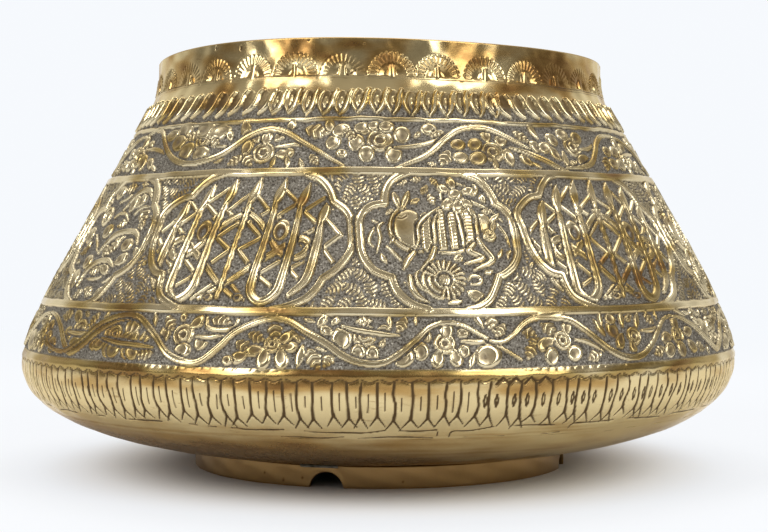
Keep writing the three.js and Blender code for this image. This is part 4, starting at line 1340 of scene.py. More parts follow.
    FOLIAGE_STEMS = (
        ((-54.2, 88.2), (-52.6, 92), (-50.6, 94.2), (-48.4, 94.4), (-46.2, 92.4), (-44.6, 89), (-43.6, 85.4)),
        ((-55.6, 74.6), (-54, 78.6), (-51.8, 80.6), (-48.6, 81.6), (-45.8, 80.4), (-44.6, 77.4)),
        ((-57.4, 64), (-56.8, 68.4), (-54.8, 71.4), (-51.4, 72.4), (-48.6, 70.6)),
    )
    FOLIAGE_LINES = (
        ((-56.6, 85.8), (-55, 87.2), (-52.8, 87), (-50.6, 84.6)),
        ((-49.6, 86.6), (-48.2, 88.8), (-46, 89.2)),
        ((-57.4, 90.6), (-55.4, 91.8), (-54, 93.2)),
        ((-60.6, 80.4), (-58.4, 77.6), (-57, 75.2)),
        ((-50.2, 76.4), (-49.8, 79.4), (-48.4, 81)),
        ((-49.6, 65.4), (-47.8, 67), (-46.4, 69)),
        ((-55.2, 66.4), (-52.4, 66.6), (-50.6, 67.4)),
    )
    FOLIAGE_SPOTS = (
        (RING, -60.2, 86.4, 2.8, 0), (BERRY, -59.6, 94.2, 1.9, 20), (LEAF, -55.6, 95.4, 2.2, 10),
        (DROP, -51.4, 90.2, 2, 80), (DROP, -49.2, 91, 1.8, 60), (LEAF, -46.6, 86.6, 2.6, 120),
        (LEAF, -52, 84, 1.8, 30), (BERRY, -64.2, 80.4, 2, 70), (LEAF, -62.4, 76, 2.4, 40),
        (BERRY, -58.4, 71.8, 2, 0), (LEAF, -51.6, 76.8, 2.2, 60), (BERRY, -47.4, 77.2, 1.8, 0),
        (LEAF, -53.6, 69.2, 2, 20), (DROP, -50.8, 69.6, 1.7, 150), (DROP, -47.2, 72.6, 1.9, 30),
        (LEAF, -52.8, 62.6, 2, 160), (LEAF, -56, 61.8, 1.7, 30), (BERRY, -60.6, 66.4, 2.2, 110),
        (LEAF, -46, 82.8, 1.7, 60), (DROP, -49.4, 62.2, 1.6, 40), (LEAF, -50.4, 96.4, 1.6, 0),
        (LEAF, -62.6, 90.2, 1.7, 60), (BERRY, -56.6, 81.6, 1.9, 30), (LEAF, -53.6, 75.2, 1.5, 100),
    )


@dataclass
class BeadRow(Ornament):
    """The bead under the lower vine, with punched scallops on both its edges."""

    scallops: int = 290
    moon_height: float = 41.9
    arc_heights: tuple[float, float] = (39.9, 39.0)

    def chase(self, bowl: Field) -> None:
        """Raises small worn half-moons over the bead and cuts an arc under every other one."""
        moon = Pad(Outline.OVAL, 0.16, 0.62, clear=0.0)
        under = Stroke(0.6, -0.2, Section.SOFT, stain=0.9)
        pitch = 360.0 / self.scallops
        reach = 0.9 * pitch
        side, middle = self.arc_heights
        for number in range(self.scallops):
            azimuth = -180.0 + number * pitch + self.nudge(0.12)
            worn = math.sin(math.radians(7.1 * azimuth + 100)) + math.sin(math.radians(5.3 * azimuth + 40)) > -0.2
            if not worn:
                bowl.pad(azimuth, self.moon_height + self.nudge(0.15), 1.42, moon, 8.0)
            if number % 2 == 0:
                bowl.line([(azimuth - reach, side), (azimuth, middle), (azimuth + reach, side)], under)


@dataclass
class TongueRow(Ornament):
    """The belly's row of cut tongues, and the broken line under it."""

    tongues: int = 170
    top: float = 39.0
    fork: float = 28.6
    looped: tuple[float, float] = (12.0, 60.0)
    peaks: tuple[float, ...] = (16.2, 18.0, 20.2, 22.3)

    def chase(self, bowl: Field) -> None:
        """Cuts each tongue's side line with a fork under it, and a dash in the tongue."""
        trough = Stroke(2.6, -0.14, Section.SOFT, stain=0.12)
        side = Stroke(1.25, -0.4, Section.SOFT, start=0.7, end=1.4, stain=1.6)
        leg = Stroke(1.0, -0.32, Section.SOFT, start=1.3, end=0.6, stain=1.5)
        dash = Stroke(0.95, -0.28, Section.SOFT, start=0.7, end=0.7, stain=1.5)
        pitch = 360.0 / self.tongues
        for number in range(self.tongues):
            azimuth = -180.0 + number * pitch + self.nudge(0.34)
            sway = self.near(0.24, 4)
            fork = self.fork + 3.5 * sway[0]
            knots = [(azimuth, self.top), (azimuth + sway[1], 35.5), (azimuth + sway[2], 32.0),
                     (azimuth + sway[3], fork)]
            bowl.line(knots, trough)
            bowl.line(knots, side)
            for way in (-1.0, 1.0):
                foot = (azimuth + way * (1.03 + 0.6 * sway[2]) + sway[3], fork - 2.7 + 2.0 * sway[1])
                bowl.line([(azimuth + sway[3], fork + 0.3), foot], leg, False)
            middle = azimuth + 0.5 * pitch + sway[1]
            if self.looped[0] < azimuth < self.looped[1]:
                bowl.line([(middle, 35.4), (middle - 0.22, 33.6), (middle, 31.6), (middle + 0.22, 33.6),
                           (middle, 35.4)], dash)
            else:
                bowl.line([(middle, 35.4 + 4.0 * sway[0]), (middle + 0.4 * sway[2], 31.2 + 4.0 * sway[3])], dash)
        for peak in self.peaks:
            bowl.line([(peak - 0.9, 38.2), (peak, 40.0), (peak + 0.9, 38.2)], leg, False)
        self.broken_line(bowl)

    FRONT_PIECES = (
        ((-46, 25.3), (-44, 25.4)), ((-38.6, 25.3), (-35, 25.5), (-32.2, 25.5)),
        ((-27.6, 25.3), (-26.2, 25.2)), ((-24.6, 25), (-23.2, 25)),
        ((-21, 24.9), (-18, 24.6), (-15.4, 24.7), (-13.2, 24.9)),
        ((-10.4, 24.5), (-7, 24.3), (-3, 24.2), (-1, 24.5), (0.6, 25)),
        ((2.6, 24.8), (5.4, 24.7), (7.8, 25)), ((7.9, 25), (8.1, 23.2)),
        ((9.8, 22.6), (10.1, 24.4), (12.6, 24.6), (15.8, 25.6)), ((18.4, 25.8), (21.4, 25.6), (25.2, 25.4)),
        ((28, 23.8), (28.5, 25.4), (32, 25.3), (35.6, 25.6)), ((38.4, 25.5), (42, 25.1), (46.4, 24.8)),
        ((49, 24.9), (53, 25.2), (58, 24.9)),
    )
    SCRAPES = (
        ((-14, 22.6), (-9, 22.4), (-5, 22.9)), ((-3, 22.5), (2, 22.9), (7.5, 22.4)),
        ((12, 22.5), (18, 22.6)), ((24, 22.4), (27, 22.7)),
    )

    def broken_line(self, bowl: Field) -> None:
        """Cuts the line under the tongues in pieces, as measured in front and by draw behind."""
        cut = Stroke(0.95, -0.24, Section.SOFT, start=0.5, end=0.8, stain=1.4)
        self.lines(bowl, cut, self.FRONT_PIECES)
        azimuth = 61.0
        while azimuth < 310.0:
            length = 6.0 + self.nudge(2.0)
            level = 25.1 + self.near(0.3, 3)
            bowl.line([(azimuth, level[0]), (azimuth + 0.5 * length, level[1]), (azimuth + length, level[2])], cut)
            azimuth += length + 2.0 + self.nudge(0.8)
        scrape = Stroke(1.2, -0.1, Section.SOFT, start=0.4, end=0.4, stain=1.1)
        self.lines(bowl, scrape, self.SCRAPES)


@dataclass
class Ridges(Ornament):
    """The raised lines that part the bands."""

    LINES = (
        (115.1, Stroke(2.1, 0.8), ((5, 0.2, 0.3), (17, 0.13, 1.2), (43, 0.1, 2.0), (91, 0.07, 0.4))),
        (98.9, Stroke(3.4, 1.0, Section.FLAT), ((4, 0.2, 1.0), (11, 0.12, 0.2), (29, 0.06, 2.2))),
        (58.3, Stroke(3.3, 0.95, Section.FLAT), ((3, 0.22, 2.0), (13, 0.13, 0.9), (31, 0.06, 1.4))),
        (40.7, Stroke(2.5, 0.34), ((7, 0.12, 0.7), (19, 0.1, 2.6), (47, 0.08, 1.7), (83, 0.06, 0.3))),
    )

    def chase(self, bowl: Field) -> None:
        """Works each line right round, a little wavy as the hand left it."""
        for height, stroke, waves in self.LINES:
            bowl.round_line(height, stroke, waves)


@dataclass(frozen=True)
class Zone:
    """A stretch of the wall between two heights whose ground is stippled."""

    low: float
    high: float
    strength: float = 1.0


@dataclass(frozen=True)
class TarnishAndShade:
    """Brown tarnish and painted shade: soft seeded clouds, streaks under the belly, patches where it is seen, and
    painted shade on the underside and the neck.
    """

    seed: int = 33
    level: float = 0.3
    clouds: int = 22
    cloud_share: float = 0.085
    calm: float = 0.65
    streaks: int = 9
    streak_share: float = 0.06
    # The next three paint shade on the base's underside, and light on its side towards one azimuth.
    base_painted_shade: float = 0.8
    base_painted_light: float = 0.75
    painted_light_azimuth: float = 55.0
    belly_lightening: float = 0.22
    neck_painted_shade: float = 0.12

    PATCHES = (
        (-52, 48, 16, 9, 0.45), (-6, 41.5, 5, 1.8, 0.8), (-6, 38.4, 18, 2.6, 0.7), (22, 37.5, 7, 2.6, 0.45),
        (-31, 38, 7, 2.2, 0.4), (-14, 98.9, 5, 1.6, 0.6), (-12, 58.3, 9, 1.6, 0.5), (33, 58.3, 7, 1.6, 0.5),
        (-4, 134, 12, 4, 0.25), (58, 134, 12, 5, 0.4), (-60, 134, 18, 5, 0.35), (-3, 115.6, 6, 1.4, 0.5),
        (50, 99, 7, 1.6, 0.5), (44, 108, 12, 9, 0.45), (-50, 108, 11, 9, 0.3), (-23, 78, 12, 16, 0.3),
        (39, 80, 11, 14, 0.35), (38, 50, 10, 7, 0.5), (44, 68, 9, 11, 0.45), (-44, 50, 9, 8, 0.35),
        # The patch at -20 degrees, 13 mm up darkens the middle of the underside: painted shade.
        (-48, 35, 8, 2.5, 0.5), (8, 33, 5, 2, 0.3), (-20, 13, 30, 6, 0.4), (10, 78, 11, 17, -0.3),
        (-20, 137, 7, 3, 0.3), (18, 137, 8, 3.5, 0.3), (38, 136, 7, 6, 0.5), (-58, 18, 12, 5, 0.45),
        (46, 134, 7, 6, 0.75), (-6, 139, 4, 2, 0.6), (33, 127, 7, 2, 0.5), (160, 60, 30, 14, 0.3),
        (230, 110, 24, 10, 0.3),
    )

    def waves(self, turn: Array, up: Array, height: Array) -> Array:
        """Clouds and streaks: a sine round the bowl times one up it, each bent by the other.

        Args:
            turn: Azimuths of the columns in radians.
            up: Arcs of the rows.
            height: Heights of the rows.

        Returns:
            A grid of shares.
        """
        rng = np.random.default_rng(self.seed)
        share = np.full((len(up), turn.shape[1]), self.level)
        calm = 1.0 - self.calm * ease(-height, -38.0, -34.0)[:, None]
        for _ in range(self.clouds):
            count = int(rng.integers(3, 34))
            wave = rng.uniform(0.06, 0.5)
            phase = rng.uniform(*ANY_PHASE, 3)
            bent = count * turn + phase[0] + 1.3 * np.sin(wave * up + phase[2])
            share += self.cloud_share * calm * np.sin(bent) * np.sin(wave * up + phase[1])
        under = ease(-height, -27.0, -22.0)[:, None]
        for _ in range(self.streaks):
            count = int(rng.integers(1, 5))
            wave = rng.uniform(1.2, 4.2)
            phase = rng.uniform(*ANY_PHASE, 2)
            bent = wave * up + 1.6 * np.sin(count * turn + phase[0]) + phase[1]
            share += self.streak_share * under * np.sin(bent)
        return share

    def at(self, azimuth: Array, arc: Array, height: Array) -> Array:
        """Share of tarnish and painted shade: the waves; painted shade on the base, lighter towards one azimuth as
        painted light; painted shade over the neck; more tarnish on the bead; less from about 24 to 37 mm up, so
        that stretch is lighter.

        A patch is exp(-(a^2 + b^2)), where a and b are the place over the patch's half sizes.

        Args:
            azimuth: Azimuths of the columns.
            arc: Arcs of the rows.
            height: Heights of the rows.

        Returns:
            A grid of shares from 0 to 1.
        """
        turn = np.radians(azimuth)[None, :]
        share = self.waves(turn, arc[:, None], height)
        # Painted shade on the base's underside, lighter towards one azimuth as painted light.
        lit = ease(np.cos(turn - math.radians(self.painted_light_azimuth)), 0.3, 1.0)
        share += (self.base_painted_shade - self.base_painted_light * lit) * ease(-height, -25.0, -14.0)[:, None]
        # Less tarnish from about 24 to 37 mm up, so that stretch is lighter.
        share -= self.belly_lightening * between(height, 24.0, 28.0, 33.0, 37.0)[:, None]
        # Painted shade: the neck band is darkened, as if it mirrored a dark room.
        share += self.neck_painted_shade * ease(height, 126.0, 131.0)[:, None]
        rough = 0.36 + 0.2 * np.sin(9 * turn + 0.6) + 0.14 * np.sin(31 * turn + 2.2)
        share += rough * between(height, 38.4, 39.6, 41.8, 43.0)[:, None]
        for middle, level, half_turn, half_height, strength in self.PATCHES:
            side = signed(azimuth - middle) / half_turn
            rise = (height - level) / half_height
            share += strength * np.exp(-(side[None, :] ** 2 + rise[:, None] ** 2))
        return np.clip(share, 0.0, 1.0).astype(np.float32)


@dataclass(frozen=True)
class Band:
    """One closed ring of the wall: its name and the height where it ends."""

    name: str
    top: float


@dataclass
class VesselBody:
    """The bowl itself, as closed rings of chased sheet over a plain base."""

    wall: Wall
    hand: HandWork
    columns: int = 2016
    pitch: float = 0.37
    low: float = 22.0
    high: float = 140.4
    inner_pitch: float = 5.0
    lip_steps: int = 7
    base_columns: int = 720
    base_pitch: float = 1.7
    base_top: float = 7.6
    ripple: float = 0.1
    grain: float = 0.05
    dimple_pitch: float = 0.9
    dimple_depth: float = 0.2
    body_polish: float = 0.82
    base_polish: float = 0.97
    inner_tarnish: float = 0.6
    crown_reach: float = 0.9
    crown_gain: float = 1.5
    zone_edge: float = 0.3
    bead_zone: tuple[float, ...] = (38.0, 39.6, 42.4, 43.4)
    tarnish_and_shade: TarnishAndShade = TarnishAndShade()
    zones: tuple[Zone, ...] = (Zone(42.6, 115.4), Zone(115.4, 119.9, 0.95))
    bands: tuple[Band, ...] = (
        Band("tongue_band", 31.2), Band("bead_band", 42.6), Band("lower_vine_band", 57.0),
        Band("panel_band_low", 71.75), Band("panel_band_middle", 85.9), Band("panel_band_high", 100.2),
        Band("upper_vine_band", 114.2), Band("leaf_band", 127.4), Band("neck_band", 140.4),
    )

    def field(self) -> Field:
        """The field with its stippled zones, chased with every band of ornament."""
        coarse = 1
        bowl = Field(self.wall, self.columns // coarse, self.pitch * coarse, self.low, self.high)
        edge = self.zone_edge
        for zone in self.zones:
            share = between(bowl.height, zone.low - edge, zone.low + edge, zone.high - edge, zone.high + edge)
            bowl.ground = np.maximum(bowl.ground, zone.strength * share[:, None]).astype(np.float32)
        order = (UpperVine(5), LowerVine(6), PanelBand(8), Ridges(), TongueRow(3), BeadRow(4), LeafBand(9),
                 NeckBand(10))
        for ornament in order:
            ornament.chase(bowl)
            log.info("chased %s", type(ornament).__name__)
        return bowl

    def masks(self, bowl: Field) -> tuple[Array, Array]:
        """Polish and stipple of every cell.

        Polish is 1 on bare metal and 0 in the dark ground: the raised share where the ground is
        stippled, less the stain, plus what stands above its surroundings. Stipple is the low
        share of the stippled ground.

        Args:
            bowl: The chased field.

        Returns:
            Two grids of numbers from 0 to 1.
        """
        cells = max(1, int(round(self.crown_reach / self.pitch)))
        crown = bowl.relief - blurred(bowl.relief, cells)
        raised = ease(bowl.relief, 0.04, 0.42)
        polish_and_shade = 1.0 - bowl.ground * (1.0 - self.body_polish * raised)
        polish_and_shade = polish_and_shade + self.crown_gain * np.clip(crown, -0.3, 0.25) * (0.35 + 0.65 * bowl.ground)
        polish_and_shade = np.clip(polish_and_shade, 0.0, 1.0) * (1.0 - np.clip(bowl.stain, 0.0, 1.0))
        stipple = bowl.ground * (1.0 - ease(bowl.relief, 0.05, 0.4))
        return polish_and_shade.astype(np.float32), stipple.astype(np.float32)

    def dimples(self, bowl: Field, pitch: float) -> Array:
        """Marks of a round punch, struck at seeded places about a pitch apart.

        A cell's depth is 1 - (d/pitch)^2 for its distance d from the nearest mark, and never
        below 0.

        Args:
            bowl: The field.
            pitch: Millimetres between marks.

        Returns:
            A grid of depths from 0 to 1.
        """
        rng = np.random.default_rng(17)
        rows = int(bowl.arc[-1] / pitch) + 3
        columns = int(2 * np.pi * 105.0 / pitch)
        shift = rng.uniform(0.1, 0.9, (2, rows, columns))
        row = bowl.arc[:, None] / pitch
        column = (bowl.azimuth[None, :] + 180.0) / 360.0 * columns
        width = bowl.radius[:, None] * 2 * np.pi / columns / pitch
        nearest = np.full((len(bowl.arc), bowl.columns), 9.0)
        for up in (-1, 0, 1):
            for side in (-1, 0, 1):
                r = np.clip(np.floor(row).astype(int) + up, 0, rows - 1)
                c = np.floor(column).astype(int) + side
                away_up = r + shift[0][r, c % columns] - row
                away_side = (c + shift[1][r, c % columns] - column) * width
                nearest = np.minimum(nearest, away_up**2 + away_side**2)
        return np.clip(1.0 - nearest, 0.0, 1.0)

    def roughened(self, bowl: Field, stipple: Array) -> Array:
        """The relief with long hammer ripples everywhere, and punch marks in the stippled ground.

        Args:
            bowl: The chased field.
            stipple: Share of stippled ground in each cell.

        Returns:
            A grid of lifts in millimetres.
        """
        rng = np.random.default_rng(21)
        relief = bowl.relief.astype(float)
        azimuth = np.radians(bowl.azimuth)[None, :]
        arc = bowl.arc[:, None]
        for _ in range(14):
            count = int(rng.integers(14, 70))
            wave = rng.uniform(0.1, 0.55)
            phase = rng.uniform(*ANY_PHASE, 2)
            bent = count * azimuth + phase[0] + 0.8 * np.sin(0.1 * arc)
            relief += 0.35 * self.ripple * np.sin(bent) * np.sin(wave * arc + phase[1])
        noise = rng.normal(0.0, 1.0, relief.shape)
        fine = noise - blurred(noise, 2)
        marks = self.dimples(bowl, self.dimple_pitch)
        return relief + (self.grain * fine - self.dimple_depth * marks) * stipple

    def places(self, azimuth: Array, radius: Array, height: Array) -> Array:
        """Points (r sin a, -r cos a, z), bent as the hand left them.

        Args:
            azimuth: Azimuths of the columns.
            radius: Radii of the rows or cells.
            height: Heights of the rows or cells.

        Returns:
            A grid of points in millimetres.
        """
        turn = np.radians(azimuth)
        radius = np.broadcast_to(radius, (len(radius), len(turn)))
        height = np.broadcast_to(height, (len(height), len(turn)))
        flat = np.stack((radius * np.sin(turn), -radius * np.cos(turn), height), axis=-1)
        return self.hand.bend(flat)

    def skin(self, bowl: Field, relief: Array) -> tuple[Array, Array]:
        """Points and normals of the chased face.

        Args:
            bowl: The field.
            relief: How far each cell stands off the wall.

        Returns:
            The points and the normals.
        """
        radius, height = self.wall.face(bowl.arc[:, None], relief)
        points = self.places(bowl.azimuth, radius, height)
        return points, self.facing(points)

    def facing(self, points: Array) -> Array:
        """Normals of a grid of points: the cross of the way along a row and the way to the next."""
        along = np.roll(points, -1, axis=1) - np.roll(points, 1, axis=1)
        return unit(np.cross(along, np.gradient(points, axis=0)))

    def inner(self, azimuth: Array, low: float, high: float) -> tuple[Array, Array]:
        """Points and normals of the inside between two arcs, from the top down.

        Args:
            azimuth: Azimuths of the columns.
            low: The lower arc.
            high: The upper arc.

        Returns:
            The points and the normals.
        """
        count = max(2, int(round((high - low) / self.inner_pitch)) + 1)
        arc = np.linspace(high, low, count)[:, None]
        radius, height = self.wall.face(arc, -self.wall.thickness)
        nearer, lower = self.wall.face(arc, -2.0 * self.wall.thickness)
        points = self.places(azimuth, radius, height)
        return points, unit(self.places(azimuth, nearer, lower) - points)

    def lip(self, bowl: Field) -> tuple[Array, Array]:
        """Points and normals of the rounded rim: a half circle from the outer to the inner face.

        Args:
            bowl: The field.

        Returns:
            The points and the normals.
        """
        half = 0.5 * self.wall.thickness
        angle = np.linspace(0.0, np.pi, self.lip_steps + 2)[1:-1, None]
        radius = self.wall.radius_at(bowl.arc[-1]) - half + half * np.cos(angle)
        height = self.wall.height_at(bowl.arc[-1]) + half * np.sin(angle)
        rim = self.places(bowl.azimuth, radius, height)
        middle = self.places(bowl.azimuth, radius - half * np.cos(angle), height - half * np.sin(angle))
        return rim, unit(rim - middle)

    def build(self, finish: "Finish") -> list[bpy.types.Object]:
        """Chases the field and makes every ring and the base.

        Args:
            finish: What the pieces are made of.

        Returns:
            The pieces.
        """
        bowl = self.field()
        polish_and_shade, stipple = self.masks(bowl)
        chased = np.maximum(bowl.ground, between(bowl.height, *self.bead_zone)[:, None])
        # Tarnish and painted shade of every cell.
        brown = self.tarnish_and_shade.at(bowl.azimuth, bowl.arc, bowl.height)
        masks = {"polish_and_shade": polish_and_shade, "stipple": stipple, "tarnish_and_shade": brown, "chased": chased}
        face = self.skin(bowl, self.roughened(bowl, stipple))
        pieces = []
        first = 0
        for band in self.bands:
            last = int(np.argmin(np.abs(bowl.height - band.top)))
            pieces.append(self.ring(bowl, band, slice(first, last + 1), face, masks).ring(band.name, finish))
            first = last
        pieces.append(self.base(bowl, finish))
        return pieces

    def ring(self, bowl: Field, band: Band, rows: slice, face: tuple[Array, Array],
             masks: dict[str, Array]) -> "Sheet":
        """One ring of the wall: its rows of the chased face, the lip on the last ring, and the inside.

        Args:
            bowl: The field.
            band: The ring.
            rows: Its rows.
            face: Points and normals of the chased face.
            masks: The masks of the chased face.

        Returns:
            The ring's sheet.
        """
        parts = [(face[0][rows], face[1][rows])]
        if band is self.bands[-1]:
            parts.append(self.lip(bowl))
        parts.append(self.inner(bowl.azimuth, bowl.arc[rows.start], bowl.arc[rows.stop - 1]))
        points, normals = (np.concatenate(column) for column in zip(*parts))
        extra = len(points) - len(face[0][rows])
        inside = {"polish_and_shade": self.body_polish, "tarnish_and_shade": self.inner_tarnish}
        whole = {}
        for key, values in masks.items():
            whole[key] = np.pad(values[rows], ((0, extra), (0, 0)), constant_values=inside.get(key, 0.0))
        return Sheet(points, normals, whole)

    def hammered(self, azimuth: Array, arc: Array) -> Array:
        """Soft marks of the raising hammer on the base, as seeded products of two sines.

        Args:
            azimuth: Azimuths of the columns.
            arc: Arcs of the rows.

        Returns:
            A grid of lifts in millimetres.
        """
        rng = np.random.default_rng(5)
        marks = np.zeros((len(arc), len(azimuth)))
        for _ in range(16):
            turns = int(rng.integers(9, 40))
            wave, phase = rng.uniform(0.08, 0.4), rng.uniform(*ANY_PHASE, 2)
            marks += 0.03 * np.sin(turns * np.radians(azimuth) + phase[0]) * np.sin(wave * arc[:, None] + phase[1])
        return marks * between(arc, 0.0, 6.0, arc[-1] - 6.0, arc[-1])[:, None]

    def base(self, bowl: Field, finish: "Finish") -> bpy.types.Object:
        """The plain underside and floor, closed at the axis.

        Args:
            bowl: The field, which the base meets at its first row.
            finish: What the piece is made of.

        Returns:
            The piece.
        """
        coarse = 1
        step = self.base_pitch * coarse
        count = self.base_columns // coarse
        azimuth = -180.0 + 360.0 / count * np.arange(count)
        foot = self.wall.radius_at(0.0)
        flat = np.linspace(0.0, foot, int(foot / (2 * step)) + 1)[1:-1]
        arc = np.linspace(0.0, bowl.arc[0], int(bowl.arc[0] / step) + 1)
        radius, height = self.wall.face(arc[:, None], self.hammered(azimuth, arc))
        outer = self.places(azimuth, np.vstack((np.repeat(flat[:, None], count, 1), radius)),
                            np.vstack((np.full((len(flat), count), self.base_top), height)))
        inner_arc = np.linspace(bowl.arc[0], 0.0, int(bowl.arc[0] / (2 * step)) + 1)[:, None]
        near, over = self.wall.face(inner_arc, -self.wall.thickness)
        floor = self.base_top + self.wall.thickness
        inside = self.places(azimuth, np.vstack((near, flat[::-2, None])),
                             np.vstack((over, np.full((len(flat[::-2]), 1), floor))))
        points = np.concatenate((outer, inside))
        normals = np.concatenate((self.facing(outer), self.facing(inside)))
        wall = slice(len(flat), len(outer))
        shine_and_shade = np.full(points.shape[:2], self.body_polish)
        shine_and_shade[:len(outer)] = self.base_polish
        # No polish on the flat underside; the wall's first rows, in the crease above the foot, are darkened as
        # painted shade.
        shine_and_shade[:len(flat) + 1] = 0.0
        shine_and_shade[wall] *= ease(arc, 0.2, 2.4)[:, None]
        aged_and_shaded = np.full(points.shape[:2], self.inner_tarnish)
        aged_and_shaded[wall] = self.tarnish_and_shade.at(azimuth, arc, self.wall.height_at(arc))
        bare = np.zeros(points.shape[:2])
        masks = {"polish_and_shade": shine_and_shade, "stipple": bare, "tarnish_and_shade": aged_and_shaded, "chased": bare}
        ends = ((0.0, 0.0, self.base_top), (0.0, 0.0, floor))
        return Sheet(points, normals, masks).capped("base", finish, ends)


# ---------------------------------------------------------------- meshes


NO_FANS = np.zeros((0, 3), int)


@dataclass
class Sheet:
    """A grid of points by rows and columns, the columns going round, with masks on it."""

    points: Array
    normals: Optional[Array]
    masks: dict[str, Array]

    def quads(self, closed: bool) -> Array:
        """Corner numbers of the grid's faces, outwards.

        Args:
            closed: Whether the last row is joined to the first.

        Returns:
            Four numbers for each face, by rows and columns.
        """
        rows, columns = self.points.shape[:2]
        number = np.arange(rows * columns).reshape(rows, columns)
        upper = np.roll(number, -1, axis=0)
        if not closed:
            number, upper = number[:-1], upper[:-1]
        right = np.roll(number, -1, axis=1)
        upper_right = np.roll(upper, -1, axis=1)
        return np.stack((number, right, upper_right, upper), axis=-1)

    def unwrapped(self, faces: Array) -> Array:
        """A map of the faces: the ring is cut into strips that are laid one over another.

        Args:
            faces: Corner numbers of the faces, by rows and columns.

        Returns:
            Four places on the map for each face.
        """
        rows, columns = faces.shape[:2]
        length = np.linalg.norm(np.diff(self.points[0], axis=0), axis=-1).sum()
        height = np.linalg.norm(np.diff(self.points[:, 0], axis=0), axis=-1).sum()
        strips = max(1, int(round(math.sqrt(length / height))))
        column = np.arange(columns)
        strip = column * strips // columns
        left = column * strips / columns - strip
        wide = strips / columns
        low = np.arange(rows)[:, None] / rows
        u = np.stack((left, left + wide, left + wide, left), axis=-1)[None] * 0.98 + 0.01
        v = np.stack((low, low, low + 1 / rows, low + 1 / rows), axis=-1)
        v = (strip[None, :, None] + 0.01 + 0.98 * v) / strips
        return np.stack((np.broadcast_to(u, v.shape), v), axis=-1)

    def mesh(self, name: str, finish: "Finish", faces: Array, extra: Knots = (),
             fans: Array = NO_FANS) -> bpy.types.Object:
        """Makes the object: quads from the grid, then triangles to the extra points.

        Args:
            name: Name of the piece.
            finish: What the piece is made of.
            faces: Corner numbers of the grid's faces.
            extra: Points after the grid's own.
            fans: Corner numbers of the triangles.

        Returns:
            The object, linked to the scene.
        """
        flat = self.points.reshape(-1, 3)
        if len(extra):
            flat = np.vstack((flat, extra))
        mesh = bpy.data.meshes.new(name)
        mesh.vertices.add(len(flat))
        mesh.vertices.foreach_set("co", (flat * MM).astype(np.float32).ravel())
        square = faces.reshape(-1, 4)
        corners = np.concatenate((square.ravel(), fans.ravel())).astype(np.int32)
        starts = np.concatenate((4 * np.arange(len(square)), 4 * len(square) + 3 * np.arange(len(fans))))
        mesh.loops.add(len(corners))
        mesh.loops.foreach_set("vertex_index", corners)
        mesh.polygons.add(len(starts))
        mesh.polygons.foreach_set("loop_start", starts.astype(np.int32))
        layer = mesh.uv_layers.new(name="OFBake")
        chart = self.unwrapped(faces).reshape(-1, 2)
        tail = np.tile(((0.0, 0.0), (0.004, 0.0), (0.002, 0.004)), (len(fans), 1))
        layer.data.foreach_set("uv", np.vstack((chart, tail)).astype(np.float32).ravel())
        mesh.update(calc_edges=True)
        for key, values in self.masks.items():
            data = np.concatenate((values.ravel(), np.full(len(extra), float(values[0, 0]))))
            mesh.attributes.new(key, "FLOAT", "POINT").data.foreach_set("value", data.astype(np.float32))
        mesh.shade_smooth()
        if self.normals is not None:
            normals = self.normals.reshape(-1, 3)
            if len(extra):
                normals = np.vstack((normals, ((0.0, 0.0, -1.0), (0.0, 0.0, 1.0))))
            mesh.normals_split_custom_set_from_vertices(normals.astype(np.float32))
        piece = bpy.data.objects.new(name, mesh)
        bpy.context.scene.collection.objects.link(piece)
        mesh.materials.append(finish.material())
        log.info("%s: %d triangles", name, 2 * len(square) + len(fans))
        return piece

    def ring(self, name: str, finish: "Finish") -> bpy.types.Object:
        """A closed ring: the rows go up the outside and down the inside, back to the first."""
        return self.mesh(name, finish, self.quads(True))

    def capped(self, name: str, finish: "Finish", ends: Knots) -> bpy.types.Object:
        """A closed shell whose first and last rows are drawn together at two points.

        Args:
            name: Name of the piece.
            finish: What the piece is made of.
            ends: The two points.

        Returns:
            The object.
        """
        rows, columns = self.points.shape[:2]
        around = np.arange(columns)
        after = np.roll(around, -1)
        last = (rows - 1) * columns
        count = rows * columns
        first_fan = np.stack((after, around, np.full(columns, count)), axis=-1)
        last_fan = np.stack((last + around, last + after, np.full(columns, count + 1)), axis=-1)
        return self.mesh(name, finish, self.quads(False), ends, np.vstack((first_fan, last_fan)))


# ---------------------------------------------------------------- foot and solder


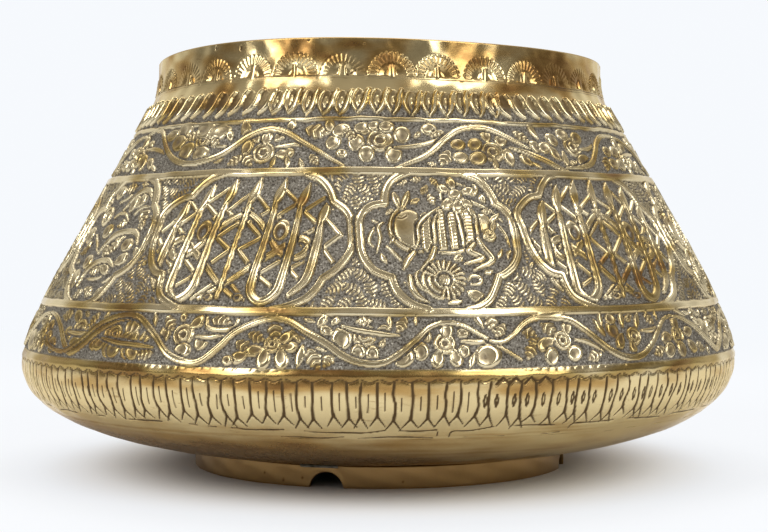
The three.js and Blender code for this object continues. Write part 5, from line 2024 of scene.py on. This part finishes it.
@dataclass
class FootRing:
    """The strip rolled round under the bowl, with half-round notches in its lower edge."""

    radius: float = 65.8
    height: float = 7.3
    wall: float = 1.4
    edge: float = 0.3
    notch_radius: float = 5.7
    notch_drop: float = 0.7
    notches: tuple[float, ...] = (-15.0, 75.0, 165.0, 255.0)
    columns: int = 1800
    side_steps: int = 12
    back_steps: int = 5
    top_painted_shade: float = 0.7
    spot_size: float = 0.45

    SPOTS = ((-34.4, 3.6), (-22.0, 2.9), (-12.6, 2.4), (6.5, 2.2), (-28.0, 1.8))

    def bottom(self, azimuth: Array) -> Array:
        """Height of the lower edge: sqrt(r^2 - x^2) - drop over a notch, never below 0."""
        low = np.zeros_like(azimuth)
        for notch in self.notches:
            turn = np.radians(signed(azimuth - notch))
            inside = np.maximum(self.notch_radius**2 - (turn * self.radius) ** 2, 0.0)
            low = np.maximum(low, np.sqrt(inside) - self.notch_drop)
        return low

    def build(self, finish: "Finish") -> bpy.types.Object:
        """Makes the ring: rows go up the outside and down the inside, the lower edge rounded.

        Args:
            finish: What the strip is made of.

        Returns:
            The piece.
        """
        count = self.columns // 1
        azimuth = -180.0 + 360.0 / count * np.arange(count)
        low = self.bottom(azimuth)[None, :]
        turn = np.radians(azimuth)[None, :]
        angle = np.linspace(-0.5 * np.pi, 0.0, 4)[:, None]
        corner_r = self.radius - self.edge + self.edge * np.cos(angle)
        corner_z = low + self.edge + self.edge * np.sin(angle)
        share = np.linspace(0.0, 1.0, self.side_steps)[1:, None]
        dent = 0.05 * np.sin(9 * turn + 0.4) + 0.04 * np.sin(23 * turn + 6 * share) + 0.03 * np.sin(41 * turn)
        side_r = self.radius + dent * np.sin(np.pi * share)
        side_z = low + self.edge + (self.height - low - self.edge) * share
        back_r = np.full((self.back_steps, 1), self.radius - self.wall)
        back_z = low + (self.height - low) * np.linspace(1.0, 0.0, self.back_steps)[:, None]
        wide = np.ones((1, count))
        radius = np.vstack((corner_r * wide, side_r * wide, back_r * wide))
        height = np.vstack((corner_z, side_z, back_z))
        points = np.stack((radius * np.sin(turn), -radius * np.cos(turn), height), axis=-1)
        masks = {"polish_and_shade": self.polish_and_shade(azimuth, height), "stipple": np.zeros(radius.shape)}
        return Sheet(points, None, masks).ring("foot_strip", finish)

    def polish_and_shade(self, azimuth: Array, height: Array) -> Array:
        """Polish of the strip, less at its top under the bowl as painted shade, and a few dark spots
        exp(-(d/size)^2) in front.

        Args:
            azimuth: Azimuths of the columns.
            height: Height of every cell.

        Returns:
            A grid of shares from 0 to 1.
        """
        # Painted shade: the strip's top, under the bowl, is darker.
        polish_and_shade = 1.0 - 0.75 * ease(height, self.height - self.top_painted_shade, self.height)
        for middle, level in self.SPOTS:
            away = np.hypot(np.radians(azimuth - middle)[None, :] * self.radius, height - level)
            polish_and_shade *= 1.0 - 0.8 * np.exp(-((away / self.spot_size) ** 2))
        return polish_and_shade


# ---------------------------------------------------------------- materials


class Signal:
    """A socket that carries a number; Python's operators on it add Math nodes."""

    def __init__(self, graph: "Graph", socket: bpy.types.NodeSocket) -> None:
        """Wraps a socket of a node in the graph."""
        self.graph = graph
        self.socket = socket

    def _with(self, operation: str, first: Any, second: Any) -> "Signal":
        """A Math node's output for two values or signals."""
        node = self.graph.node("ShaderNodeMath", {"operation": operation}, {0: first, 1: second})
        return Signal(self.graph, node.outputs[0])

    def __add__(self, other: Any) -> "Signal":
        """Sum."""
        return self._with("ADD", self, other)

    def __sub__(self, other: Any) -> "Signal":
        """Difference."""
        return self._with("SUBTRACT", self, other)

    def __rsub__(self, other: Any) -> "Signal":
        """Difference with the signal second."""
        return self._with("SUBTRACT", other, self)

    def __mul__(self, other: Any) -> "Signal":
        """Product."""
        return self._with("MULTIPLY", self, other)

    def ramp(self, low: float, high: float, bottom: float = 0.0, top: float = 1.0) -> "Signal":
        """A smooth step.

        Args:
            low: The signal below which it is the bottom.
            high: The signal above which it is the top.
            bottom: What it gives there.
            top: What it gives there.

        Returns:
            The stepped signal.
        """
        settings = {"interpolation_type": "SMOOTHSTEP"}
        inputs = {"Value": self, "From Min": low, "From Max": high, "To Min": bottom, "To Max": top}
        node = self.graph.node("ShaderNodeMapRange", settings, inputs)
        return Signal(self.graph, node.outputs[0])


class Graph:
    """The nodes of one material or world."""

    def __init__(self, tree: bpy.types.NodeTree) -> None:
        """Starts from an empty tree."""
        tree.nodes.clear()
        self.tree = tree

    def node(self, kind: str, settings: dict[str, Any], inputs: dict[Any, Any]) -> bpy.types.Node:
        """Adds a node.

        Args:
            kind: The node's type.
            settings: Its properties, set first.
            inputs: Values, sockets or signals for its input sockets.

        Returns:
            The node.
        """
        node = self.tree.nodes.new(kind)
        for key, value in settings.items():
            setattr(node, key, value)
        for key, value in inputs.items():
            if isinstance(value, Signal):
                value = value.socket
            if isinstance(value, bpy.types.NodeSocket):
                self.tree.links.new(value, node.inputs[key])
            else:
                node.inputs[key].default_value = value
        return node

    def place(self) -> bpy.types.NodeSocket:
        """Object coordinates in metres."""
        return self.node("ShaderNodeTexCoord", {}, {}).outputs["Object"]

    def mask(self, name: str) -> Signal:
        """A mesh attribute as a signal."""
        node = self.node("ShaderNodeAttribute", {"attribute_name": name}, {})
        return Signal(self, node.outputs["Fac"])

    def noise(self, scale: float, detail: float = 3.0, rough: float = 0.55, squash: float = 1.0) -> Signal:
        """Noise on Object coordinates.

        Args:
            scale: Cells to the metre.
            detail: How many finer noises are added to it.
            rough: Strength of each finer noise.
            squash: How many times as many cells there are upwards.

        Returns:
            The noise, from 0 to 1.
        """
        squashed = {0: self.place(), 1: (1.0, 1.0, squash)}
        flat = self.node("ShaderNodeVectorMath", {"operation": "MULTIPLY"}, squashed)
        inputs = {"Vector": flat.outputs[0], "Scale": scale, "Detail": detail, "Roughness": rough}
        return Signal(self, self.node("ShaderNodeTexNoise", {}, inputs).outputs[0])

    def cells(self, scale: float) -> Signal:
        """Distance to the nearest of scattered points on Object coordinates."""
        inputs = {"Vector": self.place(), "Scale": scale}
        return Signal(self, self.node("ShaderNodeTexVoronoi", {}, inputs).outputs["Distance"])

    def bump(self, strength: float, distance: float, height: Signal) -> bpy.types.NodeSocket:
        """Normals bent by a height signal, to a depth in metres."""
        inputs = {"Strength": strength, "Distance": distance, "Height": height}
        return self.node("ShaderNodeBump", {}, inputs).outputs[0]

    def blend(self, factor: Any, first: Any, second: Any) -> bpy.types.NodeSocket:
        """A colour between two colours."""
        node = self.node("ShaderNodeMix", {"data_type": "RGBA"}, {"Factor": factor, 6: first, 7: second})
        return node.outputs[2]


def colour(red: float, green: float, blue: float) -> tuple[float, float, float, float]:
    """An opaque linear colour."""
    return red, green, blue, 1.0


@dataclass(frozen=True)
class Finish:
    """A finish; its material is made once and shared by its pieces."""

    name: str
    slot: str

    def material(self) -> bpy.types.Material:
        """The finish's material, made on first use."""
        found = bpy.data.materials.get(self.name)
        if found is not None:
            return found
        made = bpy.data.materials.new(self.name)
        made.use_nodes = True
        graph = Graph(made.node_tree)
        shader = self.shade(graph)
        graph.node("ShaderNodeOutputMaterial", {}, {"Surface": shader.outputs[0]})
        return made

    def shade(self, graph: Graph) -> bpy.types.Node:
        """The shader node of the finish."""
        raise NotImplementedError


@dataclass(frozen=True)
class ChasedBrass(Finish):
    """Brass that is bright where hands rub it and dark grey where the punched ground keeps its tarnish; light
    flecks in the ground are painted glints, and its masks carry painted shade.
    """

    bright: tuple = colour(0.68, 0.555, 0.30)
    pale: tuple = colour(0.69, 0.595, 0.385)
    olive: tuple = colour(0.39, 0.28, 0.1)
    warm: tuple = colour(0.43, 0.27, 0.092)
    deep: tuple = colour(0.2, 0.094, 0.028)
    edge: tuple = colour(0.96, 0.87, 0.71)
    brown: tuple = colour(0.08, 0.047, 0.017)
    ground: tuple = colour(0.2, 0.183, 0.152)
    painted_glint: tuple = colour(0.42, 0.395, 0.34)
    pit: tuple = colour(0.055, 0.045, 0.035)

    def shade(self, graph: Graph) -> bpy.types.Node:
        """Ground to brown to bright by polish and painted shade, with warm patches of tarnish and painted shade,
        light flecks that are painted glints, and punch marks in the ground.
        """
        polish_and_shade = graph.mask("polish_and_shade")
        stipple = graph.mask("stipple")
        # The mask carries tarnish and painted shade.
        patch = graph.mask("tarnish_and_shade") + (graph.noise(40.0, 5.0, 0.65, 4.0) - 0.5) * 0.8
        speck = graph.noise(900.0, 2.0)
        worn = (polish_and_shade + (speck - 0.5) * 0.3 - (patch - 0.4) * 0.22).ramp(0.1, 1.02)
        grit = graph.noise(1700.0, 2.0, 0.6)
        dark = graph.blend(grit.ramp(0.34, 0.52), self.pit, self.ground)
        # Light flecks in the punched ground: painted glints.
        floor = graph.blend(grit.ramp(0.56, 0.7), dark, self.painted_glint)
        low = graph.blend(stipple, self.brown, floor)
        chased = graph.mask("chased")
        gold = graph.blend(chased, self.bright, self.pale)
        gold = graph.blend(patch.ramp(0.16, 0.8), gold, graph.blend(chased, self.warm, self.olive))
        gold = graph.blend(patch.ramp(0.72, 1.2), gold, self.deep)
        streak = graph.noise(110.0, 6.0, 0.72, 7.0).ramp(0.6, 0.72) * (1.0 - chased) * 0.6
        gold = graph.blend(streak, gold, self.deep)
        metal = graph.blend(worn, low, gold)
        punch = graph.cells(1500.0).ramp(0.1, 0.7)
        scratch = graph.noise(420.0, 4.0, 0.7)
        rough = worn.ramp(0.0, 1.0, 0.48, 0.15) + (scratch - 0.5) * 0.16 + patch * 0.12
        grain = punch * stipple * 0.9 + scratch * 0.12
        inputs = {"Base Color": metal, "Roughness": rough, "Metallic": worn.ramp(0.0, 1.0, 0.62, 1.0),
                  "Specular Tint": self.edge, "Normal": graph.bump(0.6, 0.0003, grain)}
        return graph.node("ShaderNodeBsdfPrincipled", {}, inputs)


@dataclass(frozen=True)
class FootBrass(Finish):
    """Satin brass with a warm brown tarnish."""

    bright: tuple = colour(0.4, 0.25, 0.1)
    brown: tuple = colour(0.17, 0.09, 0.03)

    def shade(self, graph: Graph) -> bpy.types.Node:
        """Brown patches and dark pits over satin brass."""
        # The mask makes the strip's top darker as painted shade.
        polish_and_shade = graph.mask("polish_and_shade")
        patch = graph.noise(60.0, 4.0)
        worn = (polish_and_shade * 0.9 + (patch - 0.5) * 0.7).ramp(0.25, 1.0)
        metal = graph.blend(worn, self.brown, self.bright)
        scratch = graph.noise(500.0, 4.0, 0.7)
        inputs = {"Base Color": metal, "Roughness": worn.ramp(0.0, 1.0, 0.5, 0.33), "Metallic": 0.95,
                  "Normal": graph.bump(0.35, 0.0002, scratch)}
        return graph.node("ShaderNodeBsdfPrincipled", {}, inputs)


@dataclass(frozen=True)
class GreySolder(Finish):
    """Dull grey solder."""

    light: tuple = colour(0.38, 0.38, 0.33)
    dark: tuple = colour(0.16, 0.16, 0.13)

    def shade(self, graph: Graph) -> bpy.types.Node:
        """Light and dark grey lumps."""
        lump = graph.noise(300.0, 4.0)
        metal = graph.blend(lump.ramp(0.35, 0.65), self.dark, self.light)
        inputs = {"Base Color": metal, "Roughness": 0.55, "Metallic": 0.7, "Normal": graph.bump(0.6, 0.0003, lump)}
        return graph.node("ShaderNodeBsdfPrincipled", {}, inputs)


# ---------------------------------------------------------------- studio


@dataclass(frozen=True)
class Lamp:
    """A soft oblong lamp, so far from the bowl at an azimuth and an elevation, in metres and watts."""

    name: str
    azimuth: float
    elevation: float
    away: float
    size: tuple[float, float]
    power: float

    def light(self, aim_height: float) -> None:
        """Hangs the lamp so that it looks at a point on the bowl's axis, so high."""
        data = bpy.data.lights.new(self.name, "AREA")
        data.shape = "RECTANGLE"
        data.size, data.size_y = self.size
        data.energy = self.power
        turn, rise = math.radians(self.azimuth), math.radians(self.elevation)
        level = math.cos(rise)
        way = np.array((math.sin(turn) * level, -math.cos(turn) * level, math.sin(rise)))
        lamp = bpy.data.objects.new(self.name, data)
        lamp.location = way * self.away + np.array((0.0, 0.0, aim_height))
        lamp.rotation_euler = (math.radians(90.0) - rise, 0.0, turn)
        bpy.context.scene.collection.objects.link(lamp)


@dataclass
class Studio:
    """The camera, the lamps, the pale floor and the light room round them; lengths are metres."""

    lens: float = 70.125
    camera_back: float = 0.5392
    camera_height: float = 0.0772
    shift: tuple[float, float] = (0.0059, -0.0271)
    white: tuple = colour(0.925, 0.95, 0.985)
    dusk: tuple = colour(1.0, 0.94, 0.87)
    front_level: float = 0.22
    over_level: float = 0.5
    floor_half: float = 8.0
    floor_near: float = 0.3
    floor_far: float = 0.9
    # Colour of the floor's glow near the bowl: painted light for what the brass throws back.
    warm: tuple = colour(0.86, 0.78, 0.66)
    glow_near: float = 0.064
    glow_far: float = 0.125
    shadow_lift_glow: float = 0.76
    floor_colour: tuple = colour(0.83, 0.84, 0.86)
    aim_height: float = 0.07
    lamps: tuple[Lamp, ...] = (
        Lamp("lamp_left", -50.0, 30.0, 1.6, (0.6, 1.05), 11.0),
        Lamp("lamp_right", 42.0, 30.0, 1.6, (0.7, 1.05), 11.0),
        Lamp("lamp_over", 180.0, 75.0, 1.8, (1.6, 1.2), 16.0),
    )

    def build(self) -> None:
        """Makes everything that isn't the bowl."""
        self.camera()
        for lamp in self.lamps:
            lamp.light(self.aim_height)
        self.floor()
        self.room()
        bpy.context.scene.view_settings.view_transform = "Standard"

    def camera(self) -> None:
        """The photograph's viewpoint: level, along +Y."""
        data = bpy.data.cameras.new("camera")
        data.lens = self.lens
        data.shift_x, data.shift_y = self.shift
        data.clip_start = 0.05
        viewer = bpy.data.objects.new("camera", data)
        viewer.location = (0.0, -self.camera_back, self.camera_height)
        viewer.rotation_euler = (math.radians(90.0), 0.0, 0.0)
        bpy.context.scene.collection.objects.link(viewer)
        bpy.context.scene.camera = viewer


    def floor(self) -> None:
        """The pale floor: matt nearest the bowl, where it keeps the bowl's shadow; from about 6 cm out the camera
        sees a glow, warm near the bowl, that lightens the shadow as painted light and stands in for light thrown
        back by the brass; far off it glows white.
        """
        half = self.floor_half
        mesh = bpy.data.meshes.new("floor")
        mesh.from_pydata([(-half, -half, 0.0), (half, -half, 0.0), (half, half, 0.0), (-half, half, 0.0)], [],
                         [(0, 1, 2, 3)])
        floor = bpy.data.objects.new("floor", mesh)
        bpy.context.scene.collection.objects.link(floor)
        made = bpy.data.materials.new("pale_floor")
        made.use_nodes = True
        graph = Graph(made.node_tree)
        length = graph.node("ShaderNodeVectorMath", {"operation": "LENGTH"}, {0: graph.place()})
        away = Signal(graph, length.outputs[1])
        matt = graph.node("ShaderNodeBsdfDiffuse", {}, {"Color": self.floor_colour})
        # Painted light: the glow is warm near the bowl.
        lit = graph.blend(away.ramp(self.glow_near, self.glow_far), self.warm, self.white)
        glow = graph.node("ShaderNodeEmission", {}, {"Color": lit})
        seen = Signal(graph, graph.node("ShaderNodeLightPath", {}, {}).outputs["Is Camera Ray"])
        # Painted light: from glow_near out, the camera sees a glow that lightens the bowl's shadow.
        lifted = seen * away.ramp(self.glow_near, self.glow_far, 0.0, self.shadow_lift_glow)
        far = away.ramp(self.floor_near, self.floor_far)
        far = far + (1.0 - far) * lifted
        shader = graph.node("ShaderNodeMixShader", {}, {0: far, 1: matt.outputs[0], 2: glow.outputs[0]})
        graph.node("ShaderNodeOutputMaterial", {}, {"Surface": shader.outputs[0]})
        mesh.materials.append(made)

    def room(self) -> None:
        """A light room: white where the camera looks, dimmer behind the camera for the metal to mirror."""
        world = bpy.data.worlds.new("room")
        bpy.context.scene.world = world
        world.use_nodes = True
        graph = Graph(world.node_tree)
        way = graph.node("ShaderNodeTexCoord", {}, {}).outputs["Generated"]
        split = graph.node("ShaderNodeSeparateXYZ", {}, {0: way})
        depth = Signal(graph, split.outputs[1])
        rise = Signal(graph, split.outputs[2])
        over = rise.ramp(0.05, 0.95, self.front_level, self.over_level)
        back = depth.ramp(0.0, 0.75)
        level = over + (1.0 - over) * back
        path = graph.node("ShaderNodeLightPath", {}, {})
        seen = Signal(graph, path.outputs["Is Camera Ray"]) + Signal(graph, path.outputs["Is Transmission Ray"])
        strength = seen + (1.0 - seen) * level
        tint = graph.blend(seen + (1.0 - seen) * back, self.dusk, self.white)
        back = graph.node("ShaderNodeBackground", {}, {"Color": tint, "Strength": strength})
        graph.node("ShaderNodeOutputWorld", {}, {"Surface": back.outputs[0]})


def main() -> None:
    """Builds the studio and every piece of the bowl, and ties each piece to the frame."""
    logging.basicConfig(level=logging.INFO, format="%(name)s: %(message)s")
    Studio().build()
    brass = ChasedBrass("chased_brass", "body_brass")
    foot_brass = FootBrass("satin_foot_brass", "foot_brass")
    solder = GreySolder("grey_solder", "solder")
    wall = Wall(WallPlan())
    for piece in VesselBody(wall, HandWork()).build(brass):
        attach(piece, "root")
        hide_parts("vessel_body")
    strip = FootRing().build(foot_brass)
    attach(strip, "root")
    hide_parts("foot_ring")
    for node in ("foot_ring_seam", "foot_solder", "foot_solder_run"):
        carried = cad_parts[node]
        carried.data.materials.clear()
        carried.data.materials.append(solder.material())


if __name__ == "__main__":
    main()
